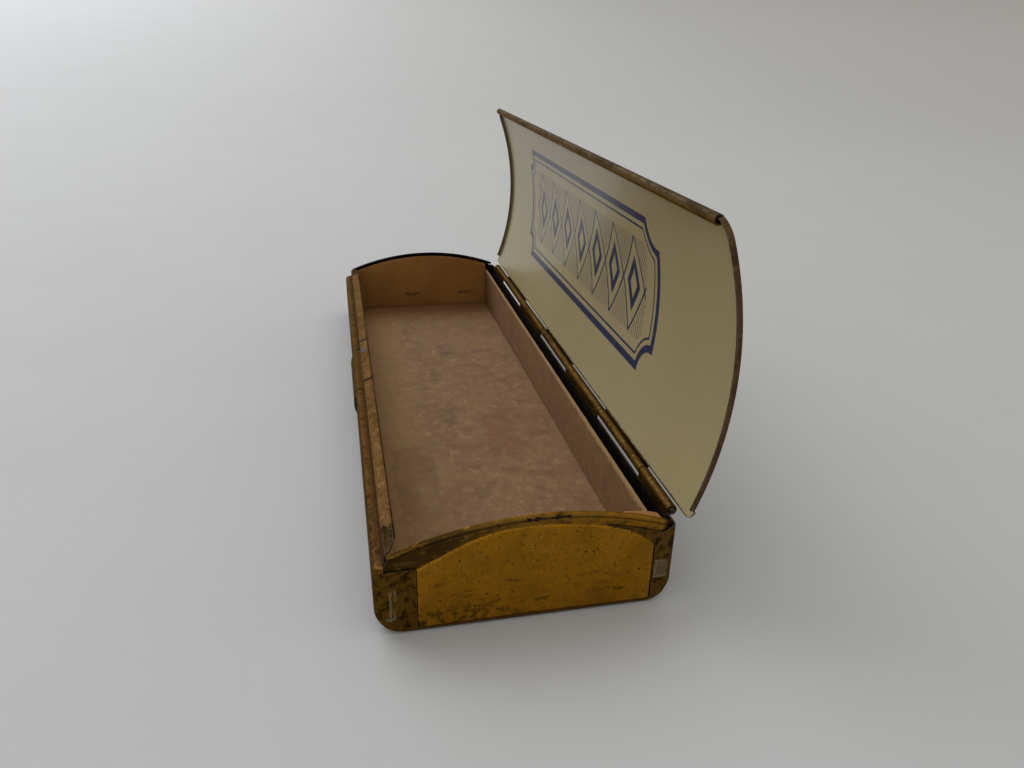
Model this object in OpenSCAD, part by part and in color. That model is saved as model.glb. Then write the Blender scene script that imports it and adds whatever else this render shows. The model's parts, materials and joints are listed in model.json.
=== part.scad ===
// Hinged tinplate box for coloured pencils, standing open.
// X runs along the box, the hinge is at +Y and the front lip at -Y.
// The origin is the middle of the underside.

/* [Tin body] */
// Outer length of the body
tin_len = 185; // [120:1:240]
// Outer width of the body
tin_w = 58; // [46:1:90]
// Height of the front corners of the end arch
front_h = 16.2; // [14:0.1:30]
// Height of the rear corners of the end arch
back_h = 17.8; // [15:0.1:32]
// Rise of the arch above its chord
crown = 5.9; // [3:0.1:9]
// Thickness of the tinplate
sheet_t = 0.35; // [0.25:0.05:0.5]
// Radius of the long lower edges
fold_r = 5; // [2:0.5:7]
// Radius of the upright corners
corner_r = 2; // [1:0.5:3]
// Radius of the short lower edges
toe_r = 1; // [0.6:0.1:2]
// Gap left between pieces that are pressed together
fit_gap = 0.05; // [0.02:0.01:0.1]

/* [End plates] */
// Height of the band that the lid's end flange covers
band_h = 2.2; // [1.8:0.1:4]
// Depth of the rolled bead along the arch
bead_w = 0.95; // [0.6:0.05:1.5]
// Height of the rolled bead along the arch
bead_h = 0.9; // [0.6:0.1:1.5]
// Length of the front wall's lap on the end
front_lap = 8; // [4:0.5:14]
// Length of the rear wall's lap on the end
back_lap = 4.5; // [3:0.5:14]
// Height of the bottom's lap on the end
toe_lap = 0.9; // [0.5:0.1:3]
// Radius of the raised panel's upper rear corner
panel_r = 3.5; // [1:0.5:5]
// Radius of the raised panel's upper front corner
panel_front_r = 1; // [0.5:0.5:4]

/* [Front lip] */
// Width of the sloping strip behind the lid's curl
lip_w = 2.6; // [1.5:0.1:6]
// Height of the strip's inner hem
lip_hem = 0.9; // [0.5:0.1:2]
// Radius of the strip's inner corners
lip_end_r = 3.4; // [1:0.2:5]
// Radius of the shoulder above the front wall
shoulder_r = 1; // [0.5:0.1:1.5]

/* [Lid] */
// Angle that the lid stands open in the rest pose
lid_open = 91.5; // [60:0.5:120]
// Gap between the closed lid and what it covers
lid_gap = 0.3; // [0.2:0.05:0.5]
// How far the lid stands beyond the body's front and ends
lid_proud = 0.25; // [0.1:0.05:0.6]
// Diameter of the curl along the front edge
curl_d = 2.1; // [1.4:0.1:3]
// Depth of the end flanges
flange_h = 1.9; // [1.2:0.1:2.4]
// Radius of the lid's front corners
lid_front_r = 4; // [3:0.5:8]
// Radius of the lid's rear corners
lid_back_r = 2; // [1:0.5:5]
// Distance from the pin to the lid's rear edge
lid_setback = 1.05; // [0.9:0.05:4]

/* [Hinge] */
// Diameter of the hinge wire
wire_d = 1.4; // [1:0.1:1.6]
// Radial clearance of the wire in the knuckles
wire_gap = 0.05; // [0.02:0.01:0.1]
// Length of each inner knuckle with its gap
knuckle_pitch = 28.6; // [15:0.1:32]
// Distance of the last knuckle from the tin's end
hinge_inset = 5.5; // [4:0.5:12]
// Least length of each end knuckle
end_knuckle_min = 4; // [2:0.5:8]
// Gap between two knuckles
knuckle_gap = 0.3; // [0.2:0.05:0.6]
// Distance of the pin below the arch's rear corner
pin_drop = 0.5; // [0:0.1:1.5]
// How far the wire shows beyond the last knuckle
wire_end = 0.6; // [0:0.1:1.5]

/* [Catch] */
// Width of the spring tongue
catch_w = 28.4; // [12:0.4:50]
// Width of the slits beside the tongue
slit_w = 0.4; // [0.3:0.05:0.8]
// Height of the tongue's root above the base
catch_root = 7; // [5.5:0.5:8]
// How far the tongue swells out of the front wall
catch_swell = 0.6; // [0.3:0.1:1]
// Height of the swelling along the wall
swell_h = 5; // [3:0.5:5.5]
// Distance of the swelling above the tongue's root
swell_rise = 0.8; // [0.4:0.1:0.9]
// Gap under the tongue's root
root_gap = 0.1; // [0.06:0.02:0.3]

/* [Card liner] */
// Thickness of the card
card_t = 0.6; // [0.4:0.1:1]
// Height of the rear card wall's top edge
card_back_h = 15.5; // [8:0.1:17]
// Height of the front card wall's top edge
card_front_h = 13.2; // [8:0.1:13.5]
// Distance of the card walls from the metal walls
card_inset = 2.45; // [2.2:0.05:4]
// Gap between the end cards and the metal ends
card_end_gap = 0.25; // [0.1:0.05:1]

/* [Hidden] */
$fn = 96;

half_l = tin_len / 2;
half_w = tin_w / 2;
tall = front_h + back_h + crown;
eps = 0.01;
// Overrun of cutting shapes and of hidden joins
over = 1;

// The arch is a circle through both upper corners
tilt = atan2(back_h - front_h, tin_w);
half_chord = sqrt(pow(tin_w, 2) + pow(back_h - front_h, 2)) / 2;
arch_r = (pow(half_chord, 2) + pow(crown, 2)) / (2 * crown);
arch_y = (arch_r - crown) * sin(tilt);
arch_z = (front_h + back_h) / 2 - (arch_r - crown) * cos(tilt);
function arch_at(y, off = 0) = arch_z + sqrt(pow(arch_r + off, 2) - pow(y - arch_y, 2));

// Hinge
wire_r = wire_d / 2;
bore_r = wire_r + wire_gap;
knuckle_r = bore_r + sheet_t;
pin_y = half_w - sheet_t + knuckle_r;
pin_z = back_h - pin_drop;
notch_z = pin_z - knuckle_r - lid_gap * 2;
hinge_half = half_l - hinge_inset;
inner_knuckles = 1 + 2 * floor((hinge_half - end_knuckle_min) / knuckle_pitch - 0.5);
wire_len = 2 * (hinge_half + wire_end);
knuckle_edges = concat([-hinge_half],
    [for (i = [0:inner_knuckles]) (i - inner_knuckles / 2) * knuckle_pitch],
    [hinge_half]);

// Lid
curl_r = curl_d / 2;
lid_in = arch_r + lid_gap;
lid_out = lid_in + sheet_t;
lid_half = half_l + lid_proud;
lid_front = -half_w - lid_proud;
lid_back = pin_y - lid_setback;
curl_y = lid_front + curl_r;
curl_z = arch_z + sqrt(pow(lid_out - curl_r, 2) - pow(curl_y - arch_y, 2));
curl_end = lid_half - lid_front_r;

// Front lip
ledge_z = curl_z - curl_r - lid_gap;
riser_y = curl_y + curl_r + lid_gap;
lip_in_y = riser_y + lip_w;

// End plates
plate_out = half_l - sheet_t - fit_gap;
plate_in = plate_out - sheet_t;
bead_in = plate_out - bead_w;
lip_half = bead_in - fit_gap;
upper_r = lid_front_r - sheet_t - lid_gap;
upper_x = lid_half - sheet_t - lid_gap;
upper_y = lid_front + sheet_t + lid_gap;
step_r = arch_r - band_h;
panel_y0 = -half_w + front_lap;
panel_y1 = half_w - back_lap;

// Card liner, lying on the rounded lower edges
card_half_w = half_w - sheet_t - card_inset;
seat_r = fold_r - sheet_t;
seat_y = max(card_half_w - (half_w - fold_r), 0);
card_floor_z = sheet_t + seat_r - sqrt(pow(seat_r, 2) - pow(min(seat_y, seat_r), 2)) + fit_gap;
card_wall_z = card_floor_z + card_t;
card_half_l = plate_in - card_end_gap;

// Catch
catch_half = catch_w / 2;
wall_mid = -half_w + sheet_t / 2;
swell_z = catch_root + swell_rise + swell_h / 2;
swell_r = (pow(swell_h / 2, 2) + pow(catch_swell, 2)) / (2 * catch_swell);

// Extrudes a YZ outline along X
module along_x(x0, x1) {
    translate([x0, 0, 0]) rotate([90, 0, 90]) linear_extrude(x1 - x0) children();
}

// Square with a rounded corner cut away at the origin, reaching along +X and +Y
module corner_cut(r) {
    difference() {
        translate([-eps, -eps]) square(r + eps);
        translate([r, r]) circle(r);
    }
}

// Plan outline with its own radii at the front and rear
module plan(hx, y0, y1, front_r, back_r) {
    difference() {
        translate([-hx, y0]) square([2 * hx, y1 - y0]);
        for (s = [0, 1]) mirror([s, 0]) {
            translate([-hx, y0]) corner_cut(front_r);
            translate([-hx, y1]) mirror([0, 1]) corner_cut(back_r);
        }
    }
}

// Upright section with rounded lower edges, open upwards
module trough(hx, z0, r) {
    difference() {
        translate([-hx, z0]) square([2 * hx, tall]);
        for (s = [0, 1]) mirror([s, 0]) translate([-hx, z0]) corner_cut(r);
    }
}

// The tray's rounded block, set in by off
module tray(off) {
    intersection() {
        along_x(-half_l + off, half_l - off) trough(half_w - off, off, fold_r - off);
        linear_extrude(2 * tall)
            plan(half_l - off, -half_w + off, half_w - off, corner_r - off, corner_r - off);
        translate([0, half_w, 0]) rotate([90, 0, 0]) linear_extrude(tin_w)
            trough(half_l - off, off, toe_r - off);
    }
}

// Circular outline of the arch, set off along its normal
module arch_disc(off) {
    translate([arch_y, arch_z]) circle(arch_r + off, $fn = 360);
}

// Band between two radii of the arch, from y0 to y1
module arch_band(off_in, off_out, y0, y1) {
    intersection() {
        difference() {
            arch_disc(off_out);
            arch_disc(off_in);
        }
        translate([y0, 0]) square([y1 - y0, 2 * tall]);
    }
}

// Raised panel of the end plate, grown by grow
module panel_outline(grow) {
    y0 = panel_y0 - grow;
    y1 = panel_y1 + grow;
    r0 = panel_front_r + grow;
    r1 = panel_r + grow;
    z0 = arch_at(y0 + r0, grow - band_h) - r0;
    z1 = arch_at(y1 - r1, grow - band_h) - r1;
    intersection() {
        translate([y0, toe_lap - grow]) square([y1 - y0, tall]);
        arch_disc(grow - band_h);
        union() {
            translate([y0 + r0, 0]) square([y1 - y0 - r0 - r1, tall]);
            translate([y0, 0]) square([r0 + eps, z0]);
            translate([y0 + r0, z0]) circle(r0);
            translate([y1 - r1 - eps, 0]) square([r1 + eps, z1]);
            translate([y1 - r1, z1]) circle(r1);
        }
    }
}

// Region of the body's skin that is kept under the lid's flanges
module skin_region() {
    translate([-half_w - over, -over]) square([tin_w + 2 * over, ledge_z - shoulder_r + over]);
    intersection() {
        translate([riser_y, 0]) square([tin_w, tall]);
        arch_disc(-band_h);
    }
    translate([half_w - corner_r - eps, 0]) square([corner_r + over, pin_z - lid_gap]);
}

// Front wall's top with its shoulder, the ledge, the riser and the sloping strip
module front_fold() {
    s = shoulder_r;
    translate([-half_w, ledge_z - s - over]) square([sheet_t, over + eps]);
    intersection() {
        translate([-half_w + s, ledge_z - s]) difference() {
            circle(s);
            circle(s - sheet_t);
        }
        translate([-half_w, ledge_z - s]) square(s);
    }
    translate([-half_w + s - eps, ledge_z - sheet_t])
        square([riser_y + sheet_t - (-half_w + s) + eps, sheet_t]);
    difference() {
        translate([riser_y, ledge_z - sheet_t]) square([sheet_t, tall]);
        difference() {
            translate([riser_y - over, 0]) square([sheet_t + 2 * over, 3 * tall]);
            arch_disc(0);
        }
    }
    arch_band(-sheet_t, 0, riser_y, lip_in_y);
    arch_band(-lip_hem, 0, lip_in_y - sheet_t, lip_in_y);
}

// Ring of one knuckle between two places along the hinge
module knuckle(x0, x1) {
    along_x(x0 + knuckle_gap / 2, x1 - knuckle_gap / 2)
        translate([pin_y, pin_z]) circle(knuckle_r);
}

module bore() {
    along_x(-hinge_half - over, hinge_half + over) translate([pin_y, pin_z]) circle(bore_r);
}

// Front edge with the lip, cut to the lid's rounded corners
module front_edge() {
    intersection() {
        along_x(-half_l, half_l) front_fold();
        linear_extrude(2 * tall) plan(half_l, -half_w, half_w, corner_r, corner_r);
        union() {
            translate([-half_l, -half_w, 0]) cube([tin_len, tin_w, ledge_z]);
            linear_extrude(2 * tall) intersection() {
                plan(lip_half, -half_w - over, lip_in_y, over, lip_end_r);
                plan(upper_x, upper_y, half_w, upper_r, upper_r);
            }
        }
    }
}

// Opening for the spring tongue and its slits
module catch_space() {
    translate([-catch_half - slit_w, -half_w - over, catch_root - root_gap])
        cube([2 * (catch_half + slit_w), lip_in_y + half_w + 2 * over, tall]);
}

module body_shell() {
    color("#5d4a2c") difference() {
        union() {
            intersection() {
                difference() {
                    tray(0);
                    tray(sheet_t);
                    for (s = [0, 1]) mirror([s, 0, 0])
                        along_x(half_l - corner_r, half_l + over) panel_outline(fit_gap);
                }
                along_x(-half_l, half_l) skin_region();
            }
            front_edge();
            translate([-hinge_half, half_w - sheet_t, pin_z - lid_gap - over])
                cube([2 * hinge_half, sheet_t, over + lid_gap]);
            for (i = [0:2:inner_knuckles + 1])
                knuckle(knuckle_edges[i], knuckle_edges[i + 1]);
        }
        bore();
        for (i = [1:2:inner_knuckles])
            translate([knuckle_edges[i] - knuckle_gap / 2, half_w - corner_r, notch_z])
                cube([knuckle_pitch + knuckle_gap, corner_r + over, tall]);
        catch_space();
    }
}

module end_plate() {
    color("#a87f2c") {
        intersection() {
            tray(sheet_t + fit_gap);
            along_x(plate_in, plate_out) intersection() {
                arch_disc(0);
                union() {
                    translate([riser_y, 0]) square([tin_w, tall]);
                    translate([-half_w, 0]) square([tin_w / 2, ledge_z - sheet_t - fit_gap]);
                }
            }
            linear_extrude(2 * tall) union() {
                plan(upper_x, upper_y, half_w, upper_r, corner_r);
                translate([half_l - corner_r - over, -half_w]) square([corner_r + over, tin_w]);
            }
        }
        intersection() {
            tray(sheet_t + fit_gap);
            along_x(bead_in, plate_out) arch_band(-bead_h, 0, riser_y, half_w);
            linear_extrude(2 * tall) plan(upper_x, upper_y, half_w, upper_r, corner_r);
        }
        along_x(plate_out - eps, plate_out + sheet_t) panel_outline(0);
    }
}

module end_plate_right() {
    end_plate();
}

module end_plate_left() {
    mirror([1, 0, 0]) end_plate();
}

module hinge_wire() {
    color("#6b675f") along_x(-wire_len / 2, wire_len / 2)
        translate([pin_y, pin_z]) circle(wire_r);
}

// Lid as it lies shut
module lid_closed() {
    difference() {
        union() {
            // curved sheet
            intersection() {
                along_x(-lid_half, lid_half)
                    arch_band(lid_gap, lid_gap + sheet_t, lid_front - over, lid_back + over);
                linear_extrude(3 * tall)
                    plan(lid_half, lid_front, lid_back, lid_front_r, lid_back_r);
                union() {
                    translate([-lid_half, curl_y - curl_r / 2, 0]) cube([2 * lid_half, 2 * tin_w, 3 * tall]);
                    for (s = [0, 1]) mirror([s, 0, 0])
                        translate([curl_end, lid_front, 0]) cube([lid_front_r, tin_w, 3 * tall]);
                }
            }
            // end flanges, turned round the front corners
            for (s = [0, 1]) mirror([s, 0, 0]) intersection() {
                along_x(curl_end, lid_half)
                    arch_band(lid_gap + sheet_t - flange_h, lid_gap + sheet_t,
                              lid_front, lid_back - lid_back_r);
                linear_extrude(3 * tall) difference() {
                    plan(lid_half, lid_front, half_w, lid_front_r, over);
                    plan(lid_half - sheet_t, lid_front + sheet_t, half_w + over,
                         lid_front_r - sheet_t, over);
                }
            }
            // front curl
            along_x(-curl_end, curl_end) translate([curl_y, curl_z]) difference() {
                circle(curl_r);
                circle(curl_r - sheet_t);
            }
            // knuckles and the tabs that carry them
            for (i = [1:2:inner_knuckles]) {
                knuckle(knuckle_edges[i], knuckle_edges[i + 1]);
                along_x(knuckle_edges[i] + knuckle_gap / 2, knuckle_edges[i + 1] - knuckle_gap / 2)
                    arch_band(lid_gap, lid_gap + sheet_t, lid_back - over, pin_y);
            }
        }
        bore();
    }
}

module lid_shell() {
    color("#bdb68c") translate([0, pin_y, pin_z]) rotate([-lid_open, 0, 0])
        translate([0, -pin_y, -pin_z]) lid_closed();
}

module catch_tongue() {
    color("#b59a63") intersection() {
        union() {
            translate([-catch_half, -half_w, catch_root])
                cube([catch_w, sheet_t, ledge_z - shoulder_r - catch_root]);
            along_x(-catch_half, catch_half) front_fold();
            along_x(-catch_half, catch_half) intersection() {
                translate([-half_w - catch_swell + swell_r, swell_z]) circle(swell_r, $fn = 180);
                translate([-half_w - over, catch_root]) square([over + sheet_t, 2 * swell_h]);
            }
        }
        translate([-catch_half, -half_w - over, catch_root])
            cube([catch_w, tin_w, tall]);
    }
}

module card_floor() {
    color("#8d6a4a") translate([-card_half_l, -card_half_w, card_floor_z])
        cube([2 * card_half_l, 2 * card_half_w, card_t]);
}

module card_wall(height) {
    translate([-card_half_l, card_half_w - card_t, card_wall_z])
        cube([2 * card_half_l, card_t, height - card_wall_z]);
}

module card_wall_rear() {
    color("#a5835a") card_wall(card_back_h);
}

module card_wall_front() {
    color("#a5835a") mirror([0, 1, 0]) card_wall(card_front_h);
}

module card_end() {
    inner = card_half_w - card_t - fit_gap;
    color("#7a5320") along_x(card_half_l - card_t, card_half_l) intersection() {
        translate([-inner, card_wall_z]) square([2 * inner, tall]);
        arch_disc(-bead_h - lid_gap);
    }
}

module card_end_right() {
    card_end();
}

module card_end_left() {
    mirror([1, 0, 0]) card_end();
}

body_shell();
end_plate_left();
end_plate_right();
hinge_wire();
lid_shell();
catch_tongue();
card_floor();
card_wall_front();
card_wall_rear();
card_end_left();
card_end_right();
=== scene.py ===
"""Looks of a hinged tinplate pencil box with a card liner, standing open."""

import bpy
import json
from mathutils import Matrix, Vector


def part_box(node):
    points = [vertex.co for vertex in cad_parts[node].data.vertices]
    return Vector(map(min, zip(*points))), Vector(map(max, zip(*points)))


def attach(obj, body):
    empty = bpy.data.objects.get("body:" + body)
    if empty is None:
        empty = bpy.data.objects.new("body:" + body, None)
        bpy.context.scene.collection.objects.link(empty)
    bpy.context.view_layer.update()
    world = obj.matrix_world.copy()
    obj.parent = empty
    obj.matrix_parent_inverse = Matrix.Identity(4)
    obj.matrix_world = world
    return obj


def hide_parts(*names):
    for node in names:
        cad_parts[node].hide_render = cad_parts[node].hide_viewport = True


bl_info = {
    "name": "Pencil Tin",
    "version": (1, 0, 0),
    "blender": (4, 5, 0),
    "location": "View3D > Sidebar > Pencil Tin",
    "description": "Builds a hinged tinplate pencil box around its packed solids",
    "category": "Object",
}

import json
import math
from types import SimpleNamespace

import bmesh
import bpy
from bpy.props import FloatProperty, FloatVectorProperty, IntProperty, PointerProperty
from mathutils import Matrix, Vector, noise

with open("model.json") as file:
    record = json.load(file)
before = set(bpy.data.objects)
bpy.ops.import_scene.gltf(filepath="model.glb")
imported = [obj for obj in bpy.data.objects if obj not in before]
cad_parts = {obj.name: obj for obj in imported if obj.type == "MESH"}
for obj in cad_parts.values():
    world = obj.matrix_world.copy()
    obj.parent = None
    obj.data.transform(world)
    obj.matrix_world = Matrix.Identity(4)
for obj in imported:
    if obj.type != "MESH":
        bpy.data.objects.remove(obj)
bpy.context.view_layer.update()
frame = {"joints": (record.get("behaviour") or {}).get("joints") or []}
MM = 0.001
HINGE = next(j for j in frame["joints"] if j["name"] == "lid_hinge")


def length(name, text, default_mm):
    """Property for a length that is given in millimetres"""
    return FloatProperty(name=name, description=text, default=default_mm * MM, unit="LENGTH", precision=5)


class TinSizes(bpy.types.PropertyGroup):
    """Sizes that a user may change"""

    sheet: length("Sheet", "Thickness of the tinplate", 0.35)
    fold: length("Fold", "Outer radius of the long lower edges", 5)
    toe: length("Toe", "Outer radius of the short lower edges", 1)
    corner: length("Corner", "Outer radius of the upright corners", 2)
    front_height: length("Front height", "Height of the arch's front corners", 16.2)
    back_height: length("Back height", "Height of the arch's rear corners", 17.8)
    crown: length("Crown", "Rise of the arch above its chord", 5.9)
    shoulder: length("Shoulder", "Radius of the shoulder above the front wall", 1)
    shoulder_base: length("Shoulder base", "Height at which the shoulder starts", 13.77)
    lip: length("Lip", "Width of the sloping strip", 2.6)
    lip_hem: length("Lip hem", "Height of the strip's inner hem", 0.9)
    lip_end: length("Lip end", "Length over which the strip's inner corners round off", 6.5)
    band: length("Band", "Height of the band below the arch", 2.2)
    bead: length("Bead", "Diameter of the rolled bead along the arch", 0.95)
    front_lap: length("Front lap", "Length of the front wall's lap on the end", 7.8)
    back_lap: length("Back lap", "Length of the rear wall's lap on the end", 4.5)
    toe_lap: length("Toe lap", "Height of the bottom's lap on the end", 0.9)
    lid_gap: length("Lid gap", "Gap between the closed lid and the arch", 0.3)
    curl: length("Curl", "Diameter of the curl along the lid's front edge", 2.1)
    flange: length("Flange", "Depth of the lid's end flanges", 1.5)
    lid_front: length("Lid front", "Radius of the lid's front corners", 4)
    lid_back: length("Lid back", "Radius of the lid's rear corners", 2)
    lid_setback: length("Lid setback", "Distance from the pin to the lid's rear edge", 1.05)
    pitch: length("Knuckle pitch", "Length of each inner knuckle with its gap", 28.6)
    hinge_inset: length("Hinge inset", "Distance of the last knuckle from the tin's end", 5.5)
    knuckle_gap: length("Knuckle gap", "Gap between two knuckles", 0.3)
    wire: length("Wire", "Diameter of the hinge wire", 1.4)
    slit: length("Slit", "Width of the slits beside the catch tongue", 0.4)
    swell: length("Swell", "How far the tongue swells out of the front wall", 0.6)
    swell_rise: length("Swell rise", "Distance of the swelling above the tongue's root", 0.8)
    swell_height: length("Swell height", "Height of the swelling", 5)
    knuckles: IntProperty(name="Knuckles", description="Knuckles along the hinge", default=7, min=3)


def shade(name, text, code):
    """Property for a colour that is given as an sRGB hex value"""
    return FloatVectorProperty(name=name, description=text, default=linear(code)[:3],
                               size=3, min=0, max=1, subtype="COLOR")


def linear(code):
    """Linear RGBA of an sRGB hex value"""
    parts = [int(code[i:i + 2], 16) / 255 for i in (1, 3, 5)]
    return [c / 12.92 if c <= 0.04045 else ((c + 0.055) / 1.055) ** 2.4 for c in parts] + [1.0]


class TinColours(bpy.types.PropertyGroup):
    """Colours that a user may change"""

    brown: shade("Brown lacquer", "Lacquer of the body's long sides", "#4B3216")
    lap: shade("Lap lacquer", "Lacquer of the laps at the ends", "#604211")
    gold: shade("Gold lacquer", "Lacquer of the end panels", "#9C6D13")
    rim: shade("Rim", "Darkened lacquer of the rim", "#3C2808")
    outside: shade("Lid outside", "Lacquer of the lid's outside", "#56412A")
    tan: shade("Tan lacquer", "Lacquer of the sloping strip", "#5B4226")
    cream: shade("Cream enamel", "Enamel inside the lid", "#978C69")
    ink: shade("Ink", "Print inside the lid", "#061F46")
    card: shade("Card", "Brown card of the liner", "#80603F")
    end_card: shade("End card", "Golden brown card at the ends", "#8F622B")
    skin: shade("Card skin", "Paler band of the card walls", "#93754B")
    # Painted light: the two floor colours paint the window's light, paler on its side and darker on the far side
    pale: shade("Pale floor", "Floor and backdrop on the window's side", "#CCD1DA")
    floor: shade("Floor", "Floor and backdrop on the far side", "#A1A2A2")


# Upper edge of the raised panel: places across the end and heights, in mm
PANEL_LINE = (
    (-29, 13.9), (-21.2, 14.19), (-18.9, 15.25), (-16.5, 16.4), (-13.9, 17.75), (-11.2, 18.95), (-7.7, 20.1),
    (-4.2, 20.7), (1.7, 20.85), (7.7, 20.35), (13.3, 19.4), (18.2, 18.05), (21.2, 16.45), (23.3, 14.9),
    (24.5, 13.9), (29, 10.2))

# Marks: centre and size in mm, then a weight or a colour
RIM_CHIPS = (((92, 0.5, 22), (3, 2.6, 0.7)), ((92, 5.6, 22), (3, 3.4, 0.7)))
CHIPS = (
    ((92.5, -26.0, 6.6), (3, 0.35, 6.6), 0.8), ((92.5, -25.1, 9.0), (3, 0.35, 2.6), 0.55),
    ((92.5, -26.0, 3.6), (3, 1.7, 0.35), 0.7), ((92.5, -25.3, 4.6), (3, 0.3, 2.2), 0.6),
    ((92.5, 26.2, 8.0), (3, 2.6, 4.0), 0.4), ((92.5, 25.0, 8.0), (3, 0.35, 4.2), 0.8),
    ((92.5, 26.2, 6.1), (3, 2.4, 0.35), 0.8), ((92.5, 26.0, 9.8), (3, 1.7, 0.3), 0.5))
STAINS = (
    ((20, 9, 1), (26, 9, 2), "#6B3F22"), ((-21, -3.3, 1), (9, 2.2, 2), "#45301B"),
    ((6.8, -2.8, 1), (6, 2.0, 2), "#4A331D"), ((12, -3, 1), (3, 2.4, 2), "#4A331D"),
    ((-60, 6, 1), (34, 20, 2), "#7A5C3C"), ((50, -16, 1), (50, 10, 2), "#5F4229"),
    ((-40, 15, 1), (2.5, 6, 2), "#553B24"), ((-28, 8, 1), (1.5, 7, 2), "#5B4028"),
    ((-45, 1.5, 1), (5, 3.5, 2), "#3E2814"), ((-38, 2.5, 1), (4, 4.5, 2), "#3E2814"))
END_MARKS = (((-90, -4, 6.6), (6, 6.0, 0.9)), ((-90, 17, 6.6), (6, 4.6, 0.9)))


class Arch:
    """Circle of the end plates' upper edge, in the YZ plane"""

    def __init__(self, width, front, back, crown):
        chord = math.hypot(width, back - front)
        tilt = math.atan2(back - front, width)
        self.radius = (chord * chord / 4 + crown * crown) / (2 * crown)
        self.y = (self.radius - crown) * math.sin(tilt)
        self.z = (front + back) / 2 - (self.radius - crown) * math.cos(tilt)

    def at(self, y, off=0.0):
        return self.z + math.sqrt((self.radius + off) ** 2 - (y - self.y) ** 2)

    def normal(self, y, off=0.0):
        return Vector((0, y - self.y, self.at(y, off) - self.z)).normalized()


def form():
    """Sizes worked out from the frame and the panel's settings"""
    s = bpy.context.scene.tin_sizes
    body_low, body_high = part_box("body_shell")
    tongue_low, tongue_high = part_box("catch_tongue")
    end_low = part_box("end_plate_right")[0]
    f = SimpleNamespace(s=s)
    f.half_l = body_high.x
    f.half_w = -body_low.y
    f.arch = Arch(2 * f.half_w, s.front_height, s.back_height, s.crown)
    f.pin = Vector(HINGE["pos_m"])
    f.open = -math.radians(HINGE["range_deg"][0])
    f.wrap = f.pin.y - (f.half_w - s.sheet / 2)
    f.hinge_half = f.half_l - s.hinge_inset
    f.notch = f.pin.z - f.wrap - s.sheet / 2 - 2 * s.lid_gap
    f.tongue_half = tongue_high.x
    f.tongue_root = tongue_low.z
    f.lid_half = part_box("lid_shell")[1].x - 0.002 * MM
    f.proud = f.lid_half - f.half_l
    f.ledge = s.shoulder_base + s.shoulder
    f.riser = -f.half_w - f.proud + s.curl + s.lid_gap
    f.lip_in = f.riser + s.lip
    f.plate_in = end_low.x + s.bead - s.sheet
    f.plate_out = f.plate_in + s.sheet
    f.lip_half = end_low.x - (f.half_l - s.sheet - f.plate_out)
    return f


def steps(start, stop, count):
    """Evenly spaced values, both ends included"""
    return [start + (stop - start) * i / count for i in range(count + 1)]


def panel_top(y):
    """Height of the raised panel's upper edge at a place across the end"""
    line = [(a * MM, b * MM) for a, b in PANEL_LINE]
    y = min(max(y, line[0][0]), line[-1][0])
    i = max(k for k in range(len(line) - 1) if line[k][0] <= y)
    (y0, z0), (y1, z1) = line[i], line[i + 1]
    before, after = line[max(i - 1, 0)], line[min(i + 2, len(line) - 1)]
    rise0 = (z1 - before[1]) / (y1 - before[0]) * (y1 - y0)
    rise1 = (after[1] - z0) / (after[0] - y0) * (y1 - y0)
    t = (y - y0) / (y1 - y0)
    return ((2 * t ** 3 - 3 * t ** 2 + 1) * z0 + (t ** 3 - 2 * t ** 2 + t) * rise0
            + (3 * t ** 2 - 2 * t ** 3) * z1 + (t ** 3 - t ** 2) * rise1)


def smooth(low, high, value):
    """Smooth step from 0 to 1"""
    t = min(max((value - low) / (high - low), 0), 1)
    return t * t * (3 - 2 * t)


def ripple(point, size, height):
    """Soft unevenness of a hand-worn surface"""
    return noise.noise(Vector(point) / size) * height


def quads(bm, rows, closed=False):
    """Faces between rows of points; None leaves a hole"""
    verts = [[None if p is None else bm.verts.new(p) for p in row] for row in rows]
    for low, high in zip(verts, verts[1:]):
        count = len(low) if closed else len(low) - 1
        for i in range(count):
            j = (i + 1) % len(low)
            corners = (low[i], low[j], high[j], high[i])
            if None not in corners:
                bm.faces.new(corners)
    return verts


def woven(rows):
    """Mesh of one grid of points, with its faces all the same way round"""
    bm = bmesh.new()
    quads(bm, rows)
    bmesh.ops.recalc_face_normals(bm, faces=bm.faces)
    return bm


def laid(name, bm, materials):
    """Object made from a mesh, with its materials, in the scene"""
    mesh = bpy.data.meshes.new(name)
    bm.to_mesh(mesh)
    bm.free()
    for material in materials:
        mesh.materials.append(material)
    piece = bpy.data.objects.new(name, mesh)
    bpy.context.scene.collection.objects.link(piece)
    return piece


def thickened(piece, thickness, sides, round_edge, even=False):
    """Gives a sheet its wall, with the materials of its back and rim, and rounds its edges"""
    if thickness:
        solid = piece.modifiers.new("Thickness", "SOLIDIFY")
        solid.thickness = thickness
        solid.offset = 0
        solid.use_even_offset = even
        solid.material_offset, solid.material_offset_rim = sides
    if round_edge:
        bevel = piece.modifiers.new("Rounding", "BEVEL")
        bevel.width = round_edge
        bevel.segments = 2
        bevel.limit_method = "ANGLE"
        bevel.angle_limit = math.radians(50)


def finished(name, bm, materials, body, node_names, thickness=0.0, sides=(0, 0), round_edge=0.0,
             even=True):
    """Piece made from a surface: thickened, rounded at its edges and set on its body"""
    bmesh.ops.remove_doubles(bm, verts=bm.verts, dist=0.004 * MM)
    piece = laid(name, bm, materials)
    thickened(piece, thickness, sides, round_edge, even)
    settled(piece, body, node_names)


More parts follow.
